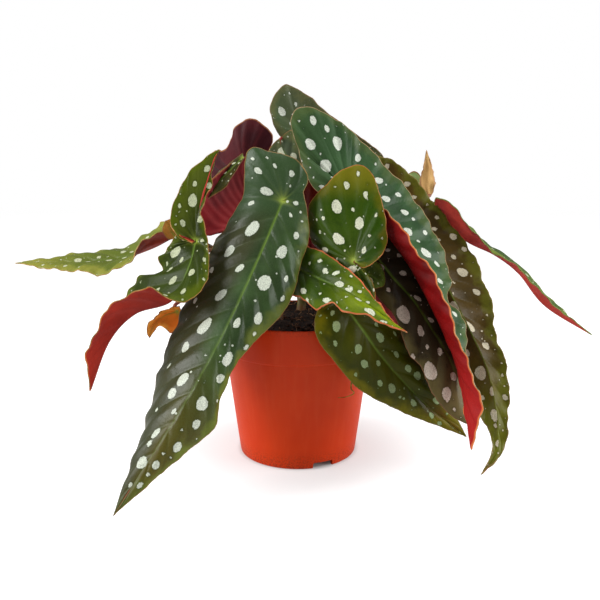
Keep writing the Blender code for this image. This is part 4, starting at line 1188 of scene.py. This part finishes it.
def stalkLine(cane, share, joint, under):
    line = smoothLine(caneLine(cane), 101)[0]
    origin = line[round(100 * share)]
    out = joint - origin
    out.z = 0.0
    out.normalize()
    start = origin + out * (cane["radius"] + stalkMake["gap"])
    end = joint + under * 1.2
    reach = (end - start).length
    first = start + (out * 0.55 + Vector((0, 0, 0.8))) * reach * 0.35
    last = end + under * reach * 0.35
    points = [origin + out * cane["radius"] * 0.4]
    for step in range(12):
        t = step / 11
        points.append(start * (1 - t) ** 3 + first * 3 * t * (1 - t) ** 2
                      + last * 3 * t * t * (1 - t) + end * t ** 3)
    return points


for leafName, node, caneName, share in stalks:
    blade = blades[leafName]
    joint = Vector(blade.leaf["midrib"][0])
    under = Vector(blade.leaf["underside"]) if "underside" in blade.leaf else blade.underside()
    line, length = smoothLine(stalkLine(canes[caneName], share, joint, under), stalkMake["rings"])
    radii = []
    for index in range(len(line)):
        along = index / (len(line) - 1)
        radius = stalkMake["base"] + (stalkMake["end"] - stalkMake["base"]) * along ** 0.7
        radius += 0.9 * math.exp(-(along * length / 3.0) ** 2)
        radius *= min(1.0, 0.45 + (1 - along) * length / 3.0)
        radii.append(radius)
    tube = growTube(node.replace("_", ""), line, radii, stalkMake["sides"], stalkFinish)
    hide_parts(node)
print("canes and stalks grown")


# the pot

pot = {
    "height": 107.0, "rimRadius": 60.0, "baseRadius": 45.2, "bandHeight": 81.0, "rimStep": 0.8,
    "wall": 1.1, "floorHeight": 5.0, "footWidth": 3.0, "around": 160,
    "notches": 2, "notchWidth": 16.0, "notchHeight": 4.5, "notchTurn": -65.5,
    "drains": 6, "drainRadius": 5.0, "drainCircle": 27.0,
    "skin": (214, 62, 12), "skinDeep": (196, 46, 6), "chalk": (228, 104, 62), "footAndRimDark": (66, 40, 26),
}


def potRadius(height):
    slope = (pot["rimRadius"] - pot["rimStep"] - pot["baseRadius"]) / pot["height"]
    return pot["baseRadius"] + slope * height + (pot["rimStep"] if height > pot["bandHeight"] else 0.0)


def potFinish():
    made, tree, shader = newMaterial("potPlastic", 0.42, specular=0.16)
    place = tree.nodes.new("ShaderNodeTexCoord")
    drawn = tree.nodes.new("ShaderNodeMapping")
    drawn.inputs["Scale"].default_value = (1.0, 1.0, 0.06)
    tree.links.new(place.outputs["Object"], drawn.inputs["Vector"])
    streak = addNoise(tree, 260, 3, source=drawn.outputs["Vector"])
    patch = addRange(tree, addNoise(tree, 22, 3), 0.36, 0.66)
    color = addMix(tree, addMath(tree, "MULTIPLY", patch, 0.35), tone(*pot["skin"]), tone(*pot["skinDeep"]))
    color = addMix(tree, addRange(tree, streak, 0.42, 0.78, 0.0, 0.10), color, tone(*pot["chalk"]))
    fine = addNoise(tree, 900, 3)
    height = tree.nodes.new("ShaderNodeSeparateXYZ")
    tree.links.new(place.outputs["Object"], height.inputs["Vector"])
    # patchy darker brown over the bottom 16 mm and the top 6 mm of the pot
    low = addRange(tree, height.outputs["Z"], 0.016, 0.001, 0.0, 0.5)
    high = addRange(tree, height.outputs["Z"], 0.101, 0.107, 0.0, 0.35)
    footAndRimDarkening = addMath(tree, "MULTIPLY", addMath(tree, "ADD", low, high), addRange(tree, fine, 0.42, 0.66))
    color = addMix(tree, footAndRimDarkening, color, tone(*pot["footAndRimDark"]))
    scuffs = tree.nodes.new("ShaderNodeMapping")
    scuffs.inputs["Scale"].default_value = (0.35, 0.35, 2.6)
    scuffs.inputs["Rotation"].default_value = (0.2, 0.1, 0.0)
    tree.links.new(place.outputs["Object"], scuffs.inputs["Vector"])
    scuff = addNoise(tree, 210, 5, 0.7, source=scuffs.outputs["Vector"])
    scuff = addRange(tree, scuff, 0.66, 0.80, 0.0, 0.40)
    color = addMix(tree, scuff, color, tone(*pot["chalk"]))
    tree.links.new(color, shader.inputs["Base Color"])
    rough = addMath(tree, "ADD", addRange(tree, fine, 0.3, 0.7, 0.36, 0.46),
                    addMath(tree, "MULTIPLY", scuff, 0.4))
    tree.links.new(rough, shader.inputs["Roughness"])
    relief = addMath(tree, "ADD", addMath(tree, "MULTIPLY", streak, 0.6),
                     addMath(tree, "MULTIPLY", fine, 0.4))
    addBump(tree, shader, relief, 0.35, 0.0002)
    return made


def spinShape(name, profile, around):
    # a closed outline spun once round the upright axis
    clearSelection()
    bpy.ops.mesh.primitive_circle_add(vertices=len(profile), radius=1, fill_type="NOTHING")
    made = bpy.context.object
    made.name = name
    for vertex, (radius, height) in zip(made.data.vertices, profile):
        vertex.co = (radius * mm, 0, height * mm)
    bpy.ops.object.mode_set(mode="EDIT")
    bpy.ops.mesh.select_all(action="SELECT")
    bpy.ops.mesh.spin(steps=around, angle=2 * math.pi, center=(0, 0, 0), axis=(0, 0, 1))
    bpy.ops.mesh.select_all(action="SELECT")
    bpy.ops.mesh.remove_doubles(threshold=0.00002)
    bpy.ops.mesh.dissolve_degenerate(threshold=0.00001)
    bpy.ops.mesh.select_all(action="SELECT")
    bpy.ops.mesh.normals_make_consistent(inside=False)
    bpy.ops.object.mode_set(mode="OBJECT")
    return made


def cutWith(made, tool):
    cut = made.modifiers.new("cut", "BOOLEAN")
    cut.operation = "DIFFERENCE"
    cut.solver = "EXACT"
    cut.object = tool
    clearSelection()
    made.select_set(True)
    bpy.context.view_layer.objects.active = made
    bpy.ops.object.modifier_apply(modifier="cut")
    bpy.data.objects.remove(tool, do_unlink=True)


band, inside, lip = pot["bandHeight"], pot["floorHeight"] + pot["wall"], pot["rimRadius"]
potShell = spinShape("pot", [
    (lip - 0.75, pot["height"]), (lip - 0.35, pot["height"] - 0.1), (lip - 0.05, pot["height"] - 0.5),
    (lip, pot["height"] - 1.1), (potRadius(band + 12), band + 12),
    (potRadius(band + 1.2), band + 1.2), (potRadius(band + 0.8) - 0.1, band + 0.7),
    (potRadius(band) + 0.35, band + 0.3), (potRadius(band), band), (potRadius(band - 1) - 0.05, band - 1),
    (potRadius(60), 60), (potRadius(40), 40), (potRadius(20), 20), (potRadius(4), 4),
    (pot["baseRadius"] + 0.05, 1.0), (pot["baseRadius"] - 0.2, 0.25), (pot["baseRadius"] - 0.7, 0.0),
    (pot["baseRadius"] - pot["footWidth"] + 0.3, 0.0), (pot["baseRadius"] - pot["footWidth"], 0.4),
    (pot["baseRadius"] - pot["footWidth"] - 0.8, pot["floorHeight"]), (20.0, pot["floorHeight"]),
    (0.0, pot["floorHeight"]), (0.0, inside), (20.0, inside), (potRadius(inside) - 3.0, inside),
    (potRadius(inside + 2) - pot["wall"] - 0.3, inside + 0.8),
    (potRadius(inside + 5) - pot["wall"], inside + 5),
    (potRadius(band) - pot["wall"], band), (potRadius(band + 1) - pot["wall"], band + 1),
    (lip - pot["wall"], pot["height"] - 0.6), (lip - pot["wall"] + 0.1, pot["height"] - 0.2),
], pot["around"])
for index in range(pot["notches"]):
    angle = math.radians(pot["notchTurn"] + 360 * index / pot["notches"])
    clearSelection()
    bpy.ops.mesh.primitive_cube_add(size=1, rotation=(0, 0, angle), location=(
        pot["baseRadius"] * math.cos(angle) * mm, pot["baseRadius"] * math.sin(angle) * mm, 0))
    tool = bpy.context.object
    tool.scale = (16 * mm, pot["notchWidth"] * mm, 2 * pot["notchHeight"] * mm)
    bpy.ops.object.transform_apply(location=True, rotation=True, scale=True)
    rounding = tool.modifiers.new("round", "BEVEL")
    rounding.width = 1.2 * mm
    rounding.segments = 4
    bpy.ops.object.modifier_apply(modifier="round")
    cutWith(potShell, tool)
for index in range(pot["drains"]):
    angle = (index + 0.5) * 2 * math.pi / pot["drains"]
    clearSelection()
    bpy.ops.mesh.primitive_cylinder_add(vertices=32, radius=pot["drainRadius"] * mm, depth=8 * mm, location=(
        pot["drainCircle"] * math.cos(angle) * mm, pot["drainCircle"] * math.sin(angle) * mm,
        (pot["floorHeight"] + pot["wall"] / 2) * mm))
    tool = bpy.context.object
    bpy.ops.object.transform_apply(location=True, rotation=True, scale=True)
    cutWith(potShell, tool)
potShell.data.materials.clear()
potShell.data.materials.append(potFinish())
clearSelection()
potShell.select_set(True)
bpy.context.view_layer.objects.active = potShell
bpy.ops.object.shade_smooth_by_angle(angle=math.radians(32))
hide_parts("pot")
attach(potShell, "root")
print("pot made")


# peat

peat = {
    "radius": 57.0, "cell": 1.3, "dome": 6.0, "clump": 1.8, "crumbs": 420, "fibres": 90,
    "damp": (22, 15, 11), "dry": (46, 32, 22), "bits": (104, 72, 44), "heap": 7.5,
}


def peatFinish():
    made, tree, shader = newMaterial("peatDamp", 0.9, specular=0.3)
    fine = addNoise(tree, 1300, 5, 0.7)
    clump = addNoise(tree, 190, 4)
    color = addMix(tree, addRange(tree, clump, 0.38, 0.66), tone(*peat["damp"]), tone(*peat["dry"]))
    color = addMix(tree, addRange(tree, fine, 0.56, 0.74, 0.0, 0.6), color, tone(*peat["bits"]))
    color = addMix(tree, addRange(tree, fine, 0.46, 0.32, 0.0, 0.8), color, tone(10, 8, 6))
    tree.links.new(color, shader.inputs["Base Color"])
    addBump(tree, shader, addMath(tree, "ADD", fine, clump), 0.9, 0.0014)
    return made


def peatHeight(x, y):
    # a low dome that dips towards the wall and is heaped up at the back, broken up by clumps
    reach = math.hypot(x, y) / peat["radius"]
    clump = noise.fractal(Vector((x / 7.0, y / 7.0, 3.1)), 0.9, 2.1, 5)
    heap = peat["heap"] * min(1.0, max(0.0, y / 40.0)) ** 2 * reach
    return soilTop + 1.6 + peat["dome"] * (1 - reach ** 2) - 1.6 * reach ** 6 + heap + peat["clump"] * clump


peatDamp = peatFinish()
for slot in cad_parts["potting_soil"].material_slots:
    slot.material = peatDamp
cells = round(2 * peat["radius"] / peat["cell"])
clearSelection()
bpy.ops.mesh.primitive_grid_add(x_subdivisions=cells, y_subdivisions=cells, size=2)
crust = bpy.context.object
crust.name = "peatCrust"
for vertex in crust.data.vertices:
    x, y = vertex.co.x, vertex.co.y
    reach = max(abs(x), abs(y))
    round_ = math.hypot(x, y)
    scale = reach / round_ * (peat["radius"] - 0.6) if round_ > 0 else 0.0
    x, y = x * scale, y * scale
    vertex.co = (x * mm, y * mm, peatHeight(x, y) * mm)
depth = crust.modifiers.new("depth", "SOLIDIFY")
depth.thickness = 2.5 * mm
depth.offset = -1.0
bpy.ops.object.modifier_apply(modifier="depth")
crust.data.materials.append(peatDamp)
bpy.ops.object.shade_smooth()
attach(crust, "root")


def joinPieces(pieces, name):
    clearSelection()
    for piece in pieces:
        piece.select_set(True)
    bpy.context.view_layer.objects.active = pieces[0]
    bpy.ops.object.join()
    made = bpy.context.object
    made.name = name
    return made


def crumbFinish():
    made, tree, shader = newMaterial("peatCrumb", 0.9, specular=0.3)
    patch = addNoise(tree, 160, 2)
    color = addMix(tree, addRange(tree, patch, 0.35, 0.62), tone(*peat["damp"]), tone(86, 60, 40))
    color = addMix(tree, addRange(tree, patch, 0.64, 0.72), color, tone(*peat["bits"]))
    fine = addNoise(tree, 1800, 3)
    color = addMix(tree, addRange(tree, fine, 0.5, 0.3, 0.0, 0.7), color, tone(14, 10, 8))
    tree.links.new(color, shader.inputs["Base Color"])
    addBump(tree, shader, fine, 0.8, 0.0006)
    return made


peatCrumb = crumbFinish()
clearSelection()
bpy.ops.mesh.primitive_cube_add(size=1)
seedCrumb = bpy.context.object
bpy.ops.object.mode_set(mode="EDIT")
bpy.ops.mesh.select_all(action="SELECT")
bpy.ops.mesh.subdivide(number_cuts=1, smoothness=1.0)
bpy.ops.object.mode_set(mode="OBJECT")
shape = [vertex.co.copy() for vertex in seedCrumb.data.vertices]
dice = random.Random(11)
crumbs = []
for index in range(peat["crumbs"]):
    piece = seedCrumb.copy()
    piece.data = seedCrumb.data.copy()
    bpy.context.collection.objects.link(piece)
    turn = dice.uniform(0, 6.283)
    reach = (peat["radius"] - 3.0) * dice.random() ** 0.5
    x, y = reach * math.cos(turn), reach * math.sin(turn)
    size = 0.7 + 2.2 * dice.random() ** 3
    spin = dice.uniform(0, 6.283)
    squat = dice.uniform(0.5, 0.9)
    for vertex, start in zip(piece.data.vertices, shape):
        lump = 1 + 0.45 * noise.noise(start * 2.3 + Vector((index, 0, 0)))
        point = start * lump * size
        point = Vector((point.x * math.cos(spin) - point.y * math.sin(spin),
                        point.x * math.sin(spin) + point.y * math.cos(spin), point.z * squat))
        vertex.co = (point + Vector((x, y, peatHeight(x, y) + 0.15 * size))) * mm
    crumbs.append(piece)
bpy.data.objects.remove(seedCrumb, do_unlink=True)
crumbPiece = joinPieces(crumbs, "peatCrumbs")
crumbPiece.data.materials.clear()
crumbPiece.data.materials.append(peatCrumb)
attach(crumbPiece, "root")


def fibreFinish():
    made, tree, shader = newMaterial("peatFibre", 0.85)
    patch = addNoise(tree, 120, 2)
    color = addMix(tree, addRange(tree, patch, 0.4, 0.6), tone(92, 62, 40), tone(150, 112, 74))
    tree.links.new(color, shader.inputs["Base Color"])
    return made


peatFibre = fibreFinish()
fibres = []
for index in range(peat["fibres"]):
    turn = dice.uniform(0, 6.283)
    reach = (peat["radius"] - 6.0) * dice.random() ** 0.5
    x, y = reach * math.cos(turn), reach * math.sin(turn)
    heading = dice.uniform(0, 6.283)
    length = dice.uniform(4, 12)
    bend = dice.uniform(-0.5, 0.5)
    line = []
    for step in range(6):
        away = (step / 5 - 0.5) * length
        px = x + away * math.cos(heading) - bend * away * away / length * math.sin(heading)
        py = y + away * math.sin(heading) + bend * away * away / length * math.cos(heading)
        inwards = min(1.0, (peat["radius"] - 2.0) / max(1.0, math.hypot(px, py)))
        px, py = px * inwards, py * inwards
        line.append(Vector((px, py, peatHeight(px, py) + 0.25)))
    fibres.append(growTube("fibre", line, [dice.uniform(0.16, 0.34)] * 6, 5, peatFibre))
fibrePiece = joinPieces(fibres, "peatFibres")
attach(fibrePiece, "root")

rootletMake = {
    "points": [(37, -63, 72), (37, -62, 67), (39, -62, 64), (34, -61, 61), (28, -60, 60)],
    "rings": 24, "radius": 0.5, "thinning": 0.3, "olive": (96, 92, 30), "pale": (150, 138, 60),
}


def rootletFinish():
    made, tree, shader = newMaterial("rootletSkin", 0.7, specular=0.15)
    patch = addRange(tree, addNoise(tree, 180, 2), 0.4, 0.6)
    color = addMix(tree, patch, tone(*rootletMake["olive"]), tone(*rootletMake["pale"]))
    tree.links.new(color, shader.inputs["Base Color"])
    return made


rings = rootletMake["rings"]
rootletLine = smoothLine([Vector(point) for point in rootletMake["points"]], rings)[0]
rootletRadii = [rootletMake["radius"] - rootletMake["thinning"] * index / (rings - 1)
                for index in range(rings)]
rootlet = growTube("strayRootlet", rootletLine, rootletRadii, 6, rootletFinish())
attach(rootlet, "root")
print("peat made")


# floor, light and camera

clearSelection()
bpy.ops.mesh.primitive_plane_add(size=studio["floorSize"])
floor = bpy.context.object
floor.name = "studioFloor"
floorPaint, tree, shader = newMaterial("studioFloorPaint", 0.8, specular=0.2)
tint = addMix(tree, addNoise(tree, 3), studio["floorColor"] + (1.0,),
              tuple(value * 0.985 for value in studio["floorColor"]) + (1.0,))
tree.links.new(tint, shader.inputs["Base Color"])
tree.links.new(tint, shader.inputs["Emission Color"])
ray = tree.nodes.new("ShaderNodeLightPath")
glow = addRange(tree, ray.outputs["Is Camera Ray"], 0.0, 1.0, studio["floorGlowLow"], studio["floorGlow"])
place = tree.nodes.new("ShaderNodeTexCoord")
reach = tree.nodes.new("ShaderNodeVectorMath")
reach.operation = "LENGTH"
tree.links.new(place.outputs["Object"], reach.inputs[0])
for shade in ("underShade", "contactShade"):
    glow = addMath(tree, "MULTIPLY", glow, addRange(tree, reach.outputs["Value"], *studio[shade]))
tree.links.new(glow, shader.inputs["Emission Strength"])
floor.data.materials.append(floorPaint)

world = bpy.data.worlds.new("studioSky")
bpy.context.scene.world = world
world.use_nodes = True
sky = world.node_tree.nodes["Background"]
sky.inputs["Color"].default_value = studio["skyColor"] + (1.0,)
ray = world.node_tree.nodes.new("ShaderNodeLightPath")  # the backdrop itself is plain white
bright = addRange(world.node_tree, ray.outputs["Is Camera Ray"], 0.0, 1.0, studio["skyStrength"], 1.0)
world.node_tree.links.new(bright, sky.inputs["Strength"])

for name in ("key", "top", "fill"):
    clearSelection()
    bpy.ops.object.light_add(type="AREA", location=studio[name + "Place"])
    lamp = bpy.context.object
    lamp.name = name + "Light"
    lamp.data.size = studio[name + "Size"]
    lamp.data.energy = studio[name + "Power"]
    lamp.rotation_euler = (Vector((0, 0, 0.12)) - lamp.location).to_track_quat("-Z", "Y").to_euler()

clearSelection()
bpy.ops.object.camera_add(location=Vector(studio["cameraPlace"]) * mm,
                          rotation=(math.pi / 2 - studio["cameraPitch"], 0, 0))
camera = bpy.context.object
camera.name = "photoCamera"
camera.data.lens = studio["lens"]
camera.data.sensor_width = 36
camera.data.clip_start = 0.01
bpy.context.scene.camera = camera
bpy.context.scene.view_settings.view_transform = "Standard"
bpy.context.scene.view_settings.look = "None"
print("studio ready")
